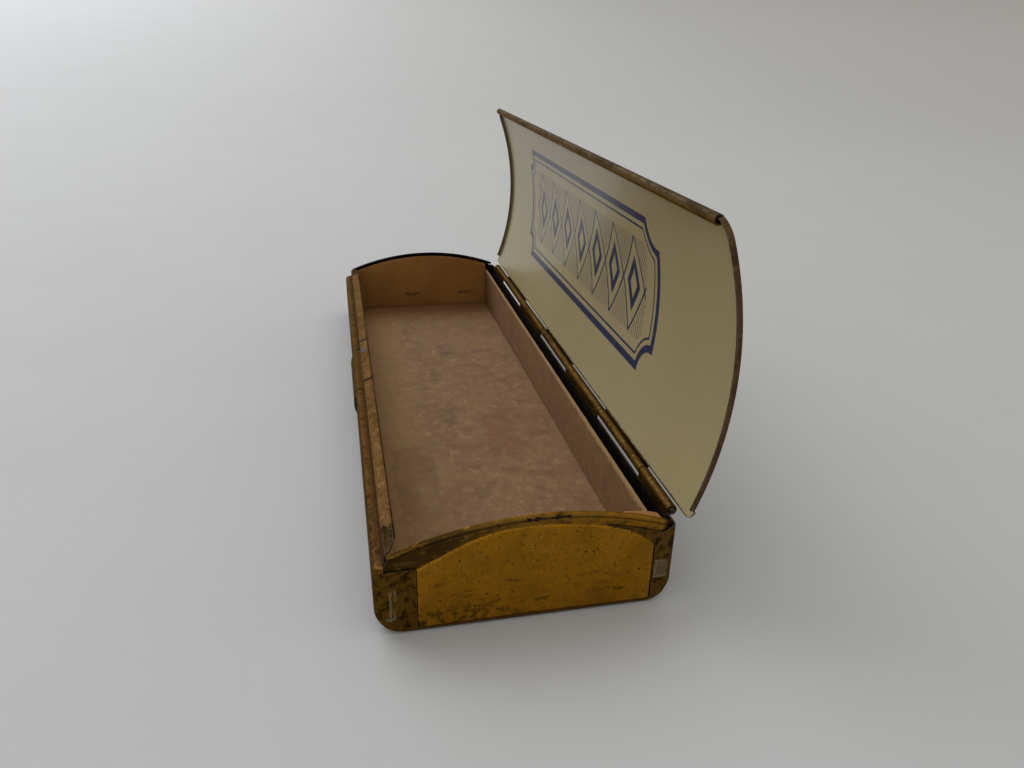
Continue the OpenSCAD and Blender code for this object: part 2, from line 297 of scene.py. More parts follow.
def settled(piece, body, node_names):
    """Turns a piece into a plain mesh, shades it, sets it on its body and hides the CAD parts it stands for"""
    evaluated = piece.evaluated_get(bpy.context.evaluated_depsgraph_get())
    mesh = bpy.data.meshes.new_from_object(evaluated)
    piece.modifiers.clear()
    piece.data = mesh
    mesh.name = piece.name
    mesh.polygons.foreach_set("use_smooth", [True] * len(mesh.polygons))
    mesh.set_sharp_from_angle(angle=math.radians(38))
    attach(piece, body)
    if node_names:
        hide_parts(*node_names)


# Materials

MIX_FACTOR, MIX_A, MIX_B, MIX_OUT = 0, 6, 7, 2
HERE = (0, 0, 0)


def node(tree, kind, links=None, **settings):
    """Adds a node, with its settings and its inputs given as values or as sockets"""
    made = tree.nodes.new(kind)
    for name, value in settings.items():
        setattr(made, name, value)
    for socket, value in (links or {}).items():
        if isinstance(value, bpy.types.NodeSocket):
            tree.links.new(value, made.inputs[socket])
        else:
            made.inputs[socket].default_value = value
    return made


def ramp(tree, value, low, high):
    """Mask that rises from 0 at low to 1 at high"""
    return node(tree, "ShaderNodeMapRange", {"Value": value, "From Min": low, "From Max": high},
                interpolation_type="SMOOTHSTEP").outputs[0]


def both(tree, one, other, operation="MULTIPLY"):
    """Two masks joined by an operation"""
    return node(tree, "ShaderNodeMath", {0: one, 1: other}, operation=operation, use_clamp=True).outputs[0]


def over(tree, below, mask, above):
    """One colour laid over another where the mask is 1; each a hex value, a colour setting or a socket"""
    links = {MIX_FACTOR: mask}
    for socket, colour in ((MIX_A, below), (MIX_B, above)):
        if isinstance(colour, str):
            colour = linear(colour)
        elif not isinstance(colour, bpy.types.NodeSocket):
            colour = [*colour, 1.0]
        links[socket] = colour
    return node(tree, "ShaderNodeMix", links, data_type="RGBA").outputs[MIX_OUT]


def patches(tree, where, size, low, high, place=HERE, stretch=(1, 1, 1)):
    """Mask of irregular patches of a size in mm, cut between two levels"""
    mapping = node(tree, "ShaderNodeMapping", {"Vector": where, "Location": place, "Scale": stretch})
    cloud = node(tree, "ShaderNodeTexNoise",
                 {"Vector": mapping.outputs[0], "Scale": 1 / (size * MM), "Detail": 5, "Roughness": 0.6})
    return ramp(tree, cloud.outputs["Fac"], low, high)


def spotted(tree, where, base, *layers):
    """Patches of other colours over a base: each a size in mm, two levels, a colour, a place and a stretch"""
    for size, low, high, colour, *more in layers:
        base = over(tree, base, patches(tree, where, size, low, high, *more), colour)
    return base


def marked(tree, where, base, centre, size, ragged, weight, colour):
    """Box-shaped mark over a base, in mm, with the blur, the shift and the grain of its ragged edge"""
    blur, shift, grain = (v * MM for v in ragged)
    stir = node(tree, "ShaderNodeTexNoise", {"Vector": where, "Scale": 1 / grain, "Detail": 4})
    point = where
    for operation, links in (("ADD", {0: stir.outputs["Color"], 1: (-0.5, -0.5, -0.5)}),
                             ("SCALE", {"Scale": 2 * shift}), ("ADD", {1: where}),
                             ("SUBTRACT", {1: [v * MM for v in centre]}), ("ABSOLUTE", {}),
                             ("SUBTRACT", {1: [v * MM / 2 for v in size]})):
        point = node(tree, "ShaderNodeVectorMath", {0: point, **links}, operation=operation).outputs[0]
    x, y, z = node(tree, "ShaderNodeSeparateXYZ", {"Vector": point}).outputs
    depth = node(tree, "ShaderNodeMath", {0: x, 1: y}, operation="MAXIMUM").outputs[0]
    depth = node(tree, "ShaderNodeMath", {0: depth, 1: z}, operation="MAXIMUM").outputs[0]
    return over(tree, base, both(tree, ramp(tree, depth, blur, -blur), weight), colour)


def worn(tree, where, base, radius, colour, patch=(1.2, 0.35, 0.6), limit=1.0):
    """Edges rubbed to another colour in patches, where a rounded normal leaves the true one"""
    rounded = node(tree, "ShaderNodeBevel", {"Radius": radius * MM}, samples=6).outputs[0]
    true = node(tree, "ShaderNodeNewGeometry").outputs["True Normal"]
    along = node(tree, "ShaderNodeVectorMath", {0: rounded, 1: true}, operation="DOT_PRODUCT")
    mask = both(tree, ramp(tree, along.outputs["Value"], 0.97, 0.8), patches(tree, where, *patch))
    return over(tree, base, both(tree, mask, limit), colour)


def corner_dirt_and_shade(tree, base, reach, colour, weight=1.0):
    """Dirt and painted shade in the corners, darkened by ambient occlusion as far out as the reach in mm"""
    seen = node(tree, "ShaderNodeAmbientOcclusion", {"Distance": reach * MM}, samples=6).outputs["AO"]
    return over(tree, base, both(tree, ramp(tree, seen, 0.75, 0.25), weight), colour)


def surface(name, colour_of, roughness, metallic=0.0, grain=None, coat=0.0, rough_swing=0.1,
            tint="#FFFFFF"):
    """Material with a painted colour, an uneven roughness, a tinted sheen and a relief of a grain in mm"""
    material = bpy.data.materials.new(name)
    material.use_nodes = True
    tree = material.node_tree
    tree.nodes.clear()
    where = node(tree, "ShaderNodeTexCoord").outputs["Object"]
    colour = colour_of(tree, where, *node(tree, "ShaderNodeSeparateXYZ", {"Vector": where}).outputs)
    rough = node(tree, "ShaderNodeMapRange",
                 {"Value": patches(tree, where, 3, 0.3, 0.7), "To Min": roughness - rough_swing,
                  "To Max": roughness + rough_swing}).outputs[0]
    shader = node(tree, "ShaderNodeBsdfPrincipled",
                  {"Base Color": colour, "Roughness": rough, "Metallic": metallic, "Coat Weight": coat,
                   "Specular Tint": linear(tint)})
    if grain:
        size, height = grain
        relief = node(tree, "ShaderNodeTexNoise", {"Vector": where, "Scale": 1 / (size * MM), "Detail": 4})
        bump = node(tree, "ShaderNodeBump",
                    {"Height": relief.outputs["Fac"], "Distance": height * MM, "Strength": 1.0})
        tree.links.new(bump.outputs[0], shader.inputs["Normal"])
    node(tree, "ShaderNodeOutputMaterial", {"Surface": shader.outputs[0]})
    return material


def brown_lacquer():
    """Stoved brown lacquer on tinplate, rubbed by hands: dark and uneven, paler at its edges"""
    c = bpy.context.scene.tin_colours
    end = form().half_l

    def colour(tree, where, x, y, z):
        side = spotted(tree, where, c.brown, (5, 0.42, 0.68, "#4D3719", HERE, (0.5, 1, 1)),
                       (1.3, 0.5, 0.66, "#2C1B08", (3, 1, 0)), (0.45, 0.6, 0.7, "#5F4A29", (1, 5, 0)))
        lap = over(tree, c.lap, ramp(tree, y, 18 * MM, 26 * MM), "#63481C")
        lap = spotted(tree, where, lap, (1.6, 0.45, 0.66, "#2B1905", (0, 0, 3)))
        lap = over(tree, lap, ramp(tree, z, 1.3 * MM, 0.7 * MM), "#6A490F")
        lap = spotted(tree, where, lap, (0.5, 0.58, 0.68, "#6E5223", (1, 5, 2)))
        far = node(tree, "ShaderNodeMath", {0: x}, operation="ABSOLUTE").outputs[0]
        base = over(tree, side, ramp(tree, far, end - 2.2 * MM, end - 0.6 * MM), lap)
        base = worn(tree, where, base, 0.35, "#75613E")
        for centre, size, weight in CHIPS:
            base = marked(tree, where, base, centre, size, (0.2, 0.35, 0.9), weight, "#857C60")
        # dirt and painted shade in the corners
        return corner_dirt_and_shade(tree, base, 1.2, "#140C05")

    return surface("Stoved brown lacquer", colour, 0.5, metallic=0.9, grain=(0.4, 0.02), tint="#CDC3B5")


def shaded_inner_tinplate():
    """Unlit inside of the body sheet: tinplate painted near black as the shade in the gap behind the card"""

    def colour(tree, where, x, y, z):
        # near black, painted as shade, with faint patches
        return spotted(tree, where, "#0D0803", (2, 0.45, 0.65, "#1A1107"))

    return surface("Tinplate painted as shade", colour, 0.7, metallic=0.8, grain=(0.4, 0.02))


def gold_lacquer():
    """Gold lacquer over tinplate: a warm metal sheen with mottled spots, darkened along the rim; painted shade
    below the bead, along the panel's edge and on the far rim, and a painted highlight along the bead
    """
    c = bpy.context.scene.tin_colours
    arch = form().arch

    def panel(tree, where, y, z):
        base = spotted(tree, where, c.gold, (9, 0.45, 0.7, "#875D10"),
                       (2.0, 0.52, 0.68, "#886015", (2, 0, 7)))
        low = both(tree, patches(tree, where, 1.8, 0.46, 0.6, (5, 2, 1)), ramp(tree, z, 7.5 * MM, 2 * MM))
        low = both(tree, low, ramp(tree, y, 8 * MM, -14 * MM))
        base = over(tree, base, low, "#4D3307")
        grain = patches(tree, where, 0.35, 0.5, 0.66, (6, 2, 0))
        base = over(tree, base, both(tree, grain, 0.6), "#6B470A")
        streak = patches(tree, where, 1.5, 0.56, 0.68, (1, 8, 0), (1, 0.25, 1.2))
        base = over(tree, base, both(tree, streak, ramp(tree, z, 14 * MM, 9 * MM)), "#6B4708")
        return spotted(tree, where, base, (0.7, 0.6, 0.68, "#4E3207", (4, 4, 0)),
                       (1.1, 0.7, 0.74, "#33200A", (8, 1, 0)))

    def rim(tree, where, x, y, z):
        band = over(tree, "#8E6216", ramp(tree, y, 20 * MM, -2 * MM), "#7E5B1A")
        band = over(tree, band, ramp(tree, y, 2 * MM, -18 * MM), c.rim)
        band = spotted(tree, where, band, (1.4, 0.45, 0.7, "#4A3210", (2, 7, 0), (1, 0.4, 1)),
                       (0.9, 0.52, 0.68, "#7A5A22", (5, 1, 3), (1, 0.4, 1)),
                       (0.6, 0.6, 0.68, "#191109", (0, 3, 6)))
        flat = node(tree, "ShaderNodeCombineXYZ", {"Y": y, "Z": z}).outputs[0]
        away = node(tree, "ShaderNodeVectorMath", {0: flat, 1: (0, arch.y, arch.z)}, operation="DISTANCE")
        depth = node(tree, "ShaderNodeMath", {0: arch.radius, 1: away.outputs["Value"]}, operation="SUBTRACT")
        depth = depth.outputs[0]
        # painted shade: a dark line below the rolled bead
        bead_shade = both(tree, ramp(tree, depth, 0.75 * MM, 0.95 * MM), ramp(tree, depth, 1.25 * MM, 1.0 * MM))
        band = over(tree, band, both(tree, bead_shade, 0.75), "#1C1206")
        # painted highlight: a lighter line along the bead's crest
        bead_highlight = both(tree, ramp(tree, depth, 0.15 * MM, 0.3 * MM), ramp(tree, depth, 0.7 * MM, 0.5 * MM))
        bead_highlight = both(tree, bead_highlight, patches(tree, where, 3, 0.3, 0.6, (9, 2, 2)))
        band = over(tree, band, both(tree, bead_highlight, 0.6), "#8A6A2E")
        corner = both(tree, ramp(tree, y, 25.5 * MM, 27 * MM), ramp(tree, y, -26 * MM, -27.5 * MM), "MAXIMUM")
        band = over(tree, band, corner, "#1E1409")
        for centre, size in RIM_CHIPS:
            band = marked(tree, where, band, centre, size, (0.2, 1.2, 0.9), 1.0, "#221C16")
        # painted shade: the rim at the far end is painted near black
        return over(tree, band, ramp(tree, x, -60 * MM, -80 * MM), "#120A03")

    def colour(tree, where, x, y, z):
        inside = panel_mask(tree, y, z)
        base = over(tree, rim(tree, where, x, y, z), inside, panel(tree, where, y, z))
        # painted shade: a dark line along the panel's edge, where its step throws shade
        line = both(tree, ramp(tree, inside, 0.02, 0.4), ramp(tree, inside, 0.98, 0.6))
        base = over(tree, base, both(tree, line, 0.6), "#34220A")
        # dirt and painted shade in the corners
        return corner_dirt_and_shade(tree, base, 0.9, "#160E05")

    return surface("Gold lacquer on tinplate", colour, 0.48, metallic=0.85, grain=(0.5, 0.015),
                   tint="#E4DAC8")


def panel_mask(tree, y, z):
    """Mask of the raised panel below its upper edge"""
    half, top = PANEL_LINE[-1][0], 24
    share = node(tree, "ShaderNodeMapRange",
                 {"Value": y, "From Min": -half * MM, "From Max": half * MM}).outputs[0]
    line = node(tree, "ShaderNodeFloatCurve", {"Value": share})
    points = line.mapping.curves[0].points
    places = [((across + half) / (2 * half), panel_top(across * MM) / (top * MM))
              for across in steps(-half, half, half)]
    points[0].location = places[0]
    points[-1].location = places[-1]
    for place in places[1:-1]:
        points.new(*place)
    line.mapping.update()
    above = node(tree, "ShaderNodeMath", {0: line.outputs[0], 1: -top * MM, 2: z}, operation="MULTIPLY_ADD")
    return ramp(tree, above.outputs[0], 0.05 * MM, -0.15 * MM)


def knuckle_lacquer():
    """Rubbed gold lacquer of the hinge, paler at its edges"""

    def colour(tree, where, x, y, z):
        base = spotted(tree, where, "#543B15", (3, 0.4, 0.65, "#38250B", HERE, (0.3, 1, 1)),
                       (0.8, 0.5, 0.66, "#634D29", (7, 1, 0)), (0.5, 0.6, 0.68, "#2A1C08", (3, 3, 3)))
        # dirt and painted shade in the corners
        return corner_dirt_and_shade(tree, worn(tree, where, base, 0.3, "#7A6843"), 0.8, "#0F0903")

    return surface("Rubbed hinge lacquer", colour, 0.52, metallic=0.9, grain=(0.4, 0.02), tint="#CDC3B5")


def outside_lacquer():
    """Brown lacquer of the lid's outside and flanges, scuffed"""
    c = bpy.context.scene.tin_colours

    def colour(tree, where, x, y, z):
        base = spotted(tree, where, c.outside, (7, 0.42, 0.68, "#463420"),
                       (1.2, 0.5, 0.66, "#5E4B35", (3, 1, 0)), (0.5, 0.62, 0.7, "#33261A", (1, 5, 0)))
        # dirt and painted shade in the corners
        return corner_dirt_and_shade(tree, worn(tree, where, base, 0.3, "#8A7C66"), 1.0, "#1C130A")

    return surface("Scuffed outside lacquer", colour, 0.5, metallic=0.8, grain=(0.4, 0.02), tint="#CDC3B5")


def curl_lacquer():
    """Lacquer of the lid's curl: greyish along its top, rubbed and painted as lit by the sky, and golden brown
    below, painted as in shade
    """
    f = form()
    middle = turned(f, (0, -f.half_w - f.proud + f.s.curl / 2, f.pin.z - 1.2 * MM)) / MM

    def colour(tree, where, x, y, z):
        rubbed = spotted(tree, where, "#4C4030", (1.5, 0.4, 0.65, "#2E2416", HERE, (0.4, 1, 1)))
        gold = spotted(tree, where, "#6C4B19", (1.5, 0.45, 0.65, "#4A3214", HERE, (0.4, 1, 1)))
        # painted light and shade: the top is greyish, rubbed and lit by the sky; the lower side is golden brown
        # in shade
        base = over(tree, gold, ramp(tree, z, (middle.z - 0.2) * MM, (middle.z + 0.5) * MM), rubbed)
        base = spotted(tree, where, base, (0.6, 0.58, 0.68, "#2A1D0C", (1, 5, 0)))
        # a dark mark painted at the curl's middle as the shade in its notch, and a pale mark beside it
        for at, drop, wide, high, blur, code in ((-1.2, 0.2, 1.1, 1.5, 0.2, "#171006"),
                                                 (-3.0, 0.6, 2.4, 1.2, 0.3, "#8C8062")):
            base = marked(tree, where, base, (at, middle.y, middle.z - drop), (wide, 9, high),
                          (blur, 0.6, 0.8), 1.0, code)
        # dirt and painted shade in the corners
        return corner_dirt_and_shade(tree, base, 0.8, "#1A1108")

    return surface("Rubbed curl lacquer", colour, 0.5, metallic=0.85, grain=(0.4, 0.02), tint="#CDC3B5")


def tan_lacquer():
    """Tan lacquer on tinplate, thin and scuffed, worn to the dark metal near the ends"""
    c = bpy.context.scene.tin_colours
    f = form()

    def colour(tree, where, x, y, z):
        strip = spotted(tree, where, c.tan, (4, 0.42, 0.66, "#4C3416", HERE, (0.5, 1, 1)),
                        (1.4, 0.5, 0.64, "#664D2B", (2, 2, 0)),
                        (0.5, 0.56, 0.66, "#38260F", HERE, (0.4, 1, 1)))
        bare = spotted(tree, where, "#22170B", (1.4, 0.4, 0.62, "#322415", (4, 0, 0)),
                       (0.5, 0.56, 0.66, "#46351C", (4, 6, 0)))
        far = node(tree, "ShaderNodeMath", {0: x}, operation="ABSOLUTE").outputs[0]
        shift = node(tree, "ShaderNodeMath", {0: patches(tree, where, 1.5, 0.3, 0.7), 1: 0.9 * MM, 2: far},
                     operation="MULTIPLY_ADD").outputs[0]
        base = over(tree, strip, ramp(tree, shift, 83.1 * MM, 83.3 * MM), bare)
        rim = spotted(tree, where, c.brown, (1.6, 0.45, 0.62, "#4D3719"))
        base = over(tree, base, ramp(tree, y, f.riser + 0.35 * MM, f.riser - 0.1 * MM), rim)
        # painted shade: dark bands beside the slits of the tongue
        gap = node(tree, "ShaderNodeMath", {0: far, 1: f.tongue_half + f.s.slit / 2}, operation="SUBTRACT")
        gap = node(tree, "ShaderNodeMath", {0: gap.outputs[0]}, operation="ABSOLUTE").outputs[0]
        base = over(tree, base, ramp(tree, gap, 0.62 * MM, 0.35 * MM), "#0E0804")
        base = worn(tree, where, base, 0.2, "#7E6C4C", (0.9, 0.3, 0.6), ramp(tree, gap, 0.5 * MM, 0.9 * MM))
        spot = node(tree, "ShaderNodeVectorMath", {0: where, 1: (-6.9 * MM, -26.1 * MM, 17.3 * MM)},
                    operation="DISTANCE").outputs["Value"]
        ragged = node(tree, "ShaderNodeMath", {0: patches(tree, where, 0.8, 0.2, 0.8), 1: 0.5 * MM, 2: spot},
                      operation="MULTIPLY_ADD").outputs[0]
        base = over(tree, base, ramp(tree, ragged, 1.75 * MM, 1.25 * MM), "#3D4B52")
        # dirt and painted shade in the corners
        return corner_dirt_and_shade(tree, base, 0.8, "#150E06")

    return surface("Tan lacquer on tinplate", colour, 0.55, metallic=0.9, grain=(0.4, 0.03), tint="#CDC3B5")


def cream_enamel():
    """Cream stoving enamel with a plain printed ornament: smooth, half glossy, a little stained, darker along
    the rear edge, with painted shade towards the far flange
    """
    c = bpy.context.scene.tin_colours
    f = form()
    edge = f.pin.y - f.s.lid_setback
    rear = turned(f, (0, edge, f.arch.at(edge, f.s.lid_gap)))

    def colour(tree, where, x, y, z):
        base = spotted(tree, where, c.cream, (40, 0.4, 0.7, "#918663"), (0.5, 0.35, 0.8, "#928761"))
        fleck = patches(tree, where, 0.4, 0.7, 0.75, (6, 0, 2))
        base = over(tree, base, both(tree, fleck, 0.5), "#5F5639")
        base = over(tree, base, ornament(tree, where, x, z), c.ink)
        # painted shade: darker towards the far flange
        far = both(tree, ramp(tree, x, 3.5 * MM - f.lid_half, 0.6 * MM - f.lid_half), 0.75)
        base = over(tree, base, far, "#453820")
        stir = patches(tree, where, 1.5, 0.2, 0.8)
        low = node(tree, "ShaderNodeMath", {0: stir, 1: -0.3 * MM, 2: z}, operation="MULTIPLY_ADD").outputs[0]
        base = over(tree, base, ramp(tree, low, rear.z + 0.35 * MM, rear.z + 0.05 * MM), "#241C0E")
        # dirt and painted shade in the corners
        return corner_dirt_and_shade(tree, base, 1.6, "#2A2213")

    return surface("Cream stoving enamel", colour, 0.3, grain=(3, 0.002), coat=0.05, rough_swing=0.02)


def ornament(tree, where, x, z):
    """Mask of the print, in mm: a double ruled label with hollow corners round a row of lozenges"""

    def calc(operation, one, other=0.0, third=0.0):
        return node(tree, "ShaderNodeMath", {0: one, 1: other, 2: third}, operation=operation).outputs[0]

    def rule(value, at, half):
        return ramp(tree, calc("ABSOLUTE", calc("SUBTRACT", value, at)), half * 1.2, half)

    along = calc("MULTIPLY_ADD", x, 1 / MM, 2.0)
    across = calc("ABSOLUTE", along)
    upright = calc("MULTIPLY_ADD", z, 1 / MM, -49.0)
    up = calc("ABSOLUTE", upright)
    beyond_x = calc("SUBTRACT", across, 57.0)
    beyond_z = calc("SUBTRACT", up, 17.0)
    corner = node(tree, "ShaderNodeCombineXYZ", {"X": beyond_x, "Y": beyond_z}).outputs[0]
    away = node(tree, "ShaderNodeVectorMath", {0: corner}, operation="LENGTH").outputs["Value"]
    label = calc("MAXIMUM", calc("MAXIMUM", beyond_x, beyond_z), calc("SUBTRACT", 6.0, away))
    rules = both(tree, rule(label, 0.0, 0.8), rule(label, -2.3, 0.25), "MAXIMUM")
    lozenge = calc("ADD", calc("DIVIDE", calc("PINGPONG", along, 7.0), 7.0), calc("DIVIDE", up, 11.5))
    ring = both(tree, rule(lozenge, 1.0, 0.05), ramp(tree, lozenge, 0.62, 0.58), "MAXIMUM")
    ring = both(tree, ring, ramp(tree, lozenge, 0.28, 0.34))
    hatch = calc("PINGPONG", calc("ADD", along, upright), 0.8)
    lines = both(tree, ramp(tree, hatch, 0.22, 0.1), ramp(tree, lozenge, 1.12, 1.16))
    inner = both(tree, ring, lines, "MAXIMUM")
    for limit in (ramp(tree, across, 50.0, 49.9), ramp(tree, up, 11.6, 11.5), ramp(tree, label, -3.6, -3.8)):
        inner = both(tree, inner, limit)
    faded = ramp(tree, patches(tree, where, 0.7, 0.2, 0.8), -1.2, 0.25)
    return both(tree, both(tree, rules, inner, "MAXIMUM"), faded)


def raw_edge():
    """Cut edge of tinplate, dark with old lacquer and rust"""

    def colour(tree, where, x, y, z):
        edge = spotted(tree, where, "#21150B", (0.8, 0.45, 0.65, "#3E3020"))
        return over(tree, edge, ramp(tree, z, 1.5 * MM, 1.1 * MM), "#4A3110")

    return surface("Cut tinplate edge", colour, 0.5, metallic=0.2)


def steel_wire():
    """Drawn steel wire, dulled and browned with rust"""

    def colour(tree, where, x, y, z):
        return spotted(tree, where, "#3D3830", (1.0, 0.42, 0.62, "#2C1C10"))

    return surface("Drawn steel wire", colour, 0.5, metallic=0.7)


def liner_card():
    """Grey-brown card, rubbed and stained: dull, with fine fibres, specks and a few dark marks"""
    c = bpy.context.scene.tin_colours

    def colour(tree, where, x, y, z):
        base = spotted(tree, where, c.card, (18, 0.4, 0.7, "#74553A"), (5, 0.45, 0.7, "#6D4F34", (1, 4, 0)),
                       (2.4, 0.45, 0.75, "#8F6F4E", (5, 0, 0)),
                       (0.7, 0.45, 0.75, "#745438", HERE, (0.5, 1, 1)),
                       (0.4, 0.6, 0.7, "#5A4029", (9, 0, 0)), (1.1, 0.68, 0.74, "#4F3520", (3, 9, 0)))
        # painted light: the floor is lightened and yellowed towards the front wall, where that wall shades it
        base = over(tree, base, both(tree, ramp(tree, y, -6 * MM, -20 * MM), 0.55), "#9A7848")
        base = over(tree, base, both(tree, ramp(tree, x, -66 * MM, -90 * MM), 0.75), "#6E4A20")
        for centre, size, code in STAINS:
            base = marked(tree, where, base, centre, size, (1.2, 2.2, 4), 0.5, code)
        # dirt and painted shade in the corners
        return corner_dirt_and_shade(tree, base, 5, "#6A4A27", 0.3)

    return surface("Rubbed liner card", colour, 0.85, grain=(0.3, 0.05), rough_swing=0.05)


def end_card():
    """Golden brown card of the ends, smoother than the floor"""
    c = bpy.context.scene.tin_colours

    def colour(tree, where, x, y, z):
        base = spotted(tree, where, c.end_card, (10, 0.4, 0.7, "#855823"), (1.0, 0.5, 0.75, "#94682F"),
                       (0.5, 0.64, 0.7, "#5F3F1A", (2, 2, 2)))
        for centre, size in END_MARKS:
            base = marked(tree, where, base, centre, size, (0.6, 1.0, 2), 0.85, "#4A2E10")
        # dirt and painted shade in the corners
        return corner_dirt_and_shade(tree, base, 5, "#5A3C16", 0.4)

    return surface("Golden end card", colour, 0.8, grain=(0.3, 0.04), rough_swing=0.05)


def wall_card():
    """Card of the liner's walls, with a paler band along its top"""
    c = bpy.context.scene.tin_colours
    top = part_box("card_wall_rear")[1].z

    def colour(tree, where, x, y, z):
        base = spotted(tree, where, "#76552F", (8, 0.4, 0.7, "#6A4B2A"),
                       (2.4, 0.45, 0.75, "#7F5E3A", (5, 0, 0)),
                       (0.7, 0.45, 0.75, "#674929", HERE, (0.5, 1, 1)))
        base = over(tree, base, ramp(tree, x, -60 * MM, -88 * MM), "#65431C")
        pale = spotted(tree, where, c.skin, (2, 0.45, 0.7, "#866A42", HERE, (0.4, 1, 1)),
                       (0.5, 0.6, 0.68, "#6A4F2D", (1, 1, 4)))
        near = node(tree, "ShaderNodeMapRange", {"Value": x, "From Min": 0.0, "From Max": 80 * MM,
                                                 "To Min": 0.3 * MM, "To Max": 1.3 * MM}).outputs[0]
        torn = node(tree, "ShaderNodeMath", {0: patches(tree, where, 2.5, 0.2, 0.8), 1: near, 2: z},
                    operation="MULTIPLY_ADD").outputs[0]
        base = over(tree, base, ramp(tree, torn, top - 0.6 * MM, top - 0.4 * MM), pale)
        # dirt and painted shade in the corners
        return corner_dirt_and_shade(tree, base, 3, "#6A4A27", 0.25)

    return surface("Pasted wall card", colour, 0.85, grain=(0.3, 0.05), rough_swing=0.05)


# Body

class TIN_OT_body(bpy.types.Operator):
    """Folded sheet of the body with its laps, shoulder and ledge"""

    bl_idname = "tin.body"
    bl_label = "Body sheet"

    def execute(self, context):
        f = form()
        tray(f)
        lip(f)
        return {"FINISHED"}


def lap_edge(f, z, side):
    """Y of a lap's edge beside the raised panel, which slopes inwards at the rear"""
    s = f.s
    if side < 0:
        return -f.half_w + s.front_lap
    edge = f.half_w - s.back_lap
    while panel_top(edge) < z and edge > 0.5 * f.half_w:
        edge -= 0.05 * MM
    return edge


def tray_stations(f):
    """Places round the tray: kind, place, share and end, from the right end's front lap round by the front"""
    s = f.s
    slit = f.tongue_half + s.slit
    beyond = f.hinge_half + 0.1 * MM
    front_xs = sorted({*steps(0, slit, 7), *steps(slit, f.half_l - s.corner, 38)}, reverse=True)
    rear_xs = sorted({*steps(0, f.hinge_half, 40), *steps(beyond, f.half_l - s.corner, 3)})
    front = [("lap", -1, t) for t in steps(0, 1, 8)[:-1]]
    front += [("corner", -1, a) for a in steps(0, 90, 8)]
    front += [("front", x, 0) for x in front_xs[1:]]
    rear = [("rear", x, 0) for x in rear_xs[:-1]]
    corner = [("corner", 1, a) for a in steps(90, 0, 8)] + [("lap", 1, t) for t in steps(1, 0, 5)[1:]]
    toe = [("toe", 0, t) for t in steps(0, 1, 30)[1:-1]]
    around = [(*station, 1) for station in front]
    around += [(k, -v if k == "front" else v, t, -1) for k, v, t in reversed(front) if (k, v) != ("front", 0)]
    around += [(*station, -1) for station in (*toe, *reversed(corner), *reversed(rear))]
    around += [(*station, 1) for station in (*rear[1:], *corner)]
    around += [(k, v, 1 - t, 1) for k, v, t in toe]
    return around


def tray_point(f, station, z, inset):
    """Point of the tray's middle surface at a station, a height and an inset of the whole outline"""
    kind, value, t, side = station
    s = f.s
    drop_side = s.fold - math.sqrt(max((s.fold - s.sheet / 2) ** 2 - max(s.fold - z, 0) ** 2, 0))
    drop_end = s.toe - math.sqrt(max((s.toe - s.sheet / 2) ** 2 - max(s.toe - z, 0) ** 2, 0))
    if inset:
        drop_side = drop_end = inset
    half_x = f.half_l - drop_end
    half_y = f.half_w - drop_side
    radius = max(s.corner - (inset or s.sheet / 2), 0)
    straight_y = half_y - radius
    if kind == "corner":
        angle = math.radians(t)
        x = half_x - radius + radius * math.cos(angle)
        y = value * (straight_y + radius * math.sin(angle))
        return Vector((side * x, y, z))
    if kind == "front":
        return Vector((value, -half_y, z))
    if kind == "rear":
        return Vector((side * value, half_y, z))
    if kind == "lap":
        edge = lap_edge(f, z, value)
        edge = value * min(value * edge, straight_y - 0.05 * MM)
        return Vector((side * half_x, edge + (value * straight_y - edge) * t, z))
    front, back = lap_edge(f, 0, -1), min(lap_edge(f, 0, 1), straight_y - 0.05 * MM)
    return Vector((side * half_x, front + (back - front) * t, z))


def tray_top(f, station):
    """Height of the tray's edge at a station"""
    kind, value, t, side = station
    s = f.s
    if kind == "rear":
        return f.notch if value <= f.hinge_half else f.pin.z - s.lid_gap
    if kind == "front" or (kind == "corner" and value < 0):
        return s.shoulder_base
    if kind == "corner":
        return f.pin.z - s.lid_gap
    if value < 0:
        return panel_top(-f.half_w + s.front_lap)
    z = s.back_height - s.band
    for _ in range(12):
        y = tray_point(f, station, z, 0).y
        z = f.arch.at(y, -s.band - 0.3 * MM)
    return z


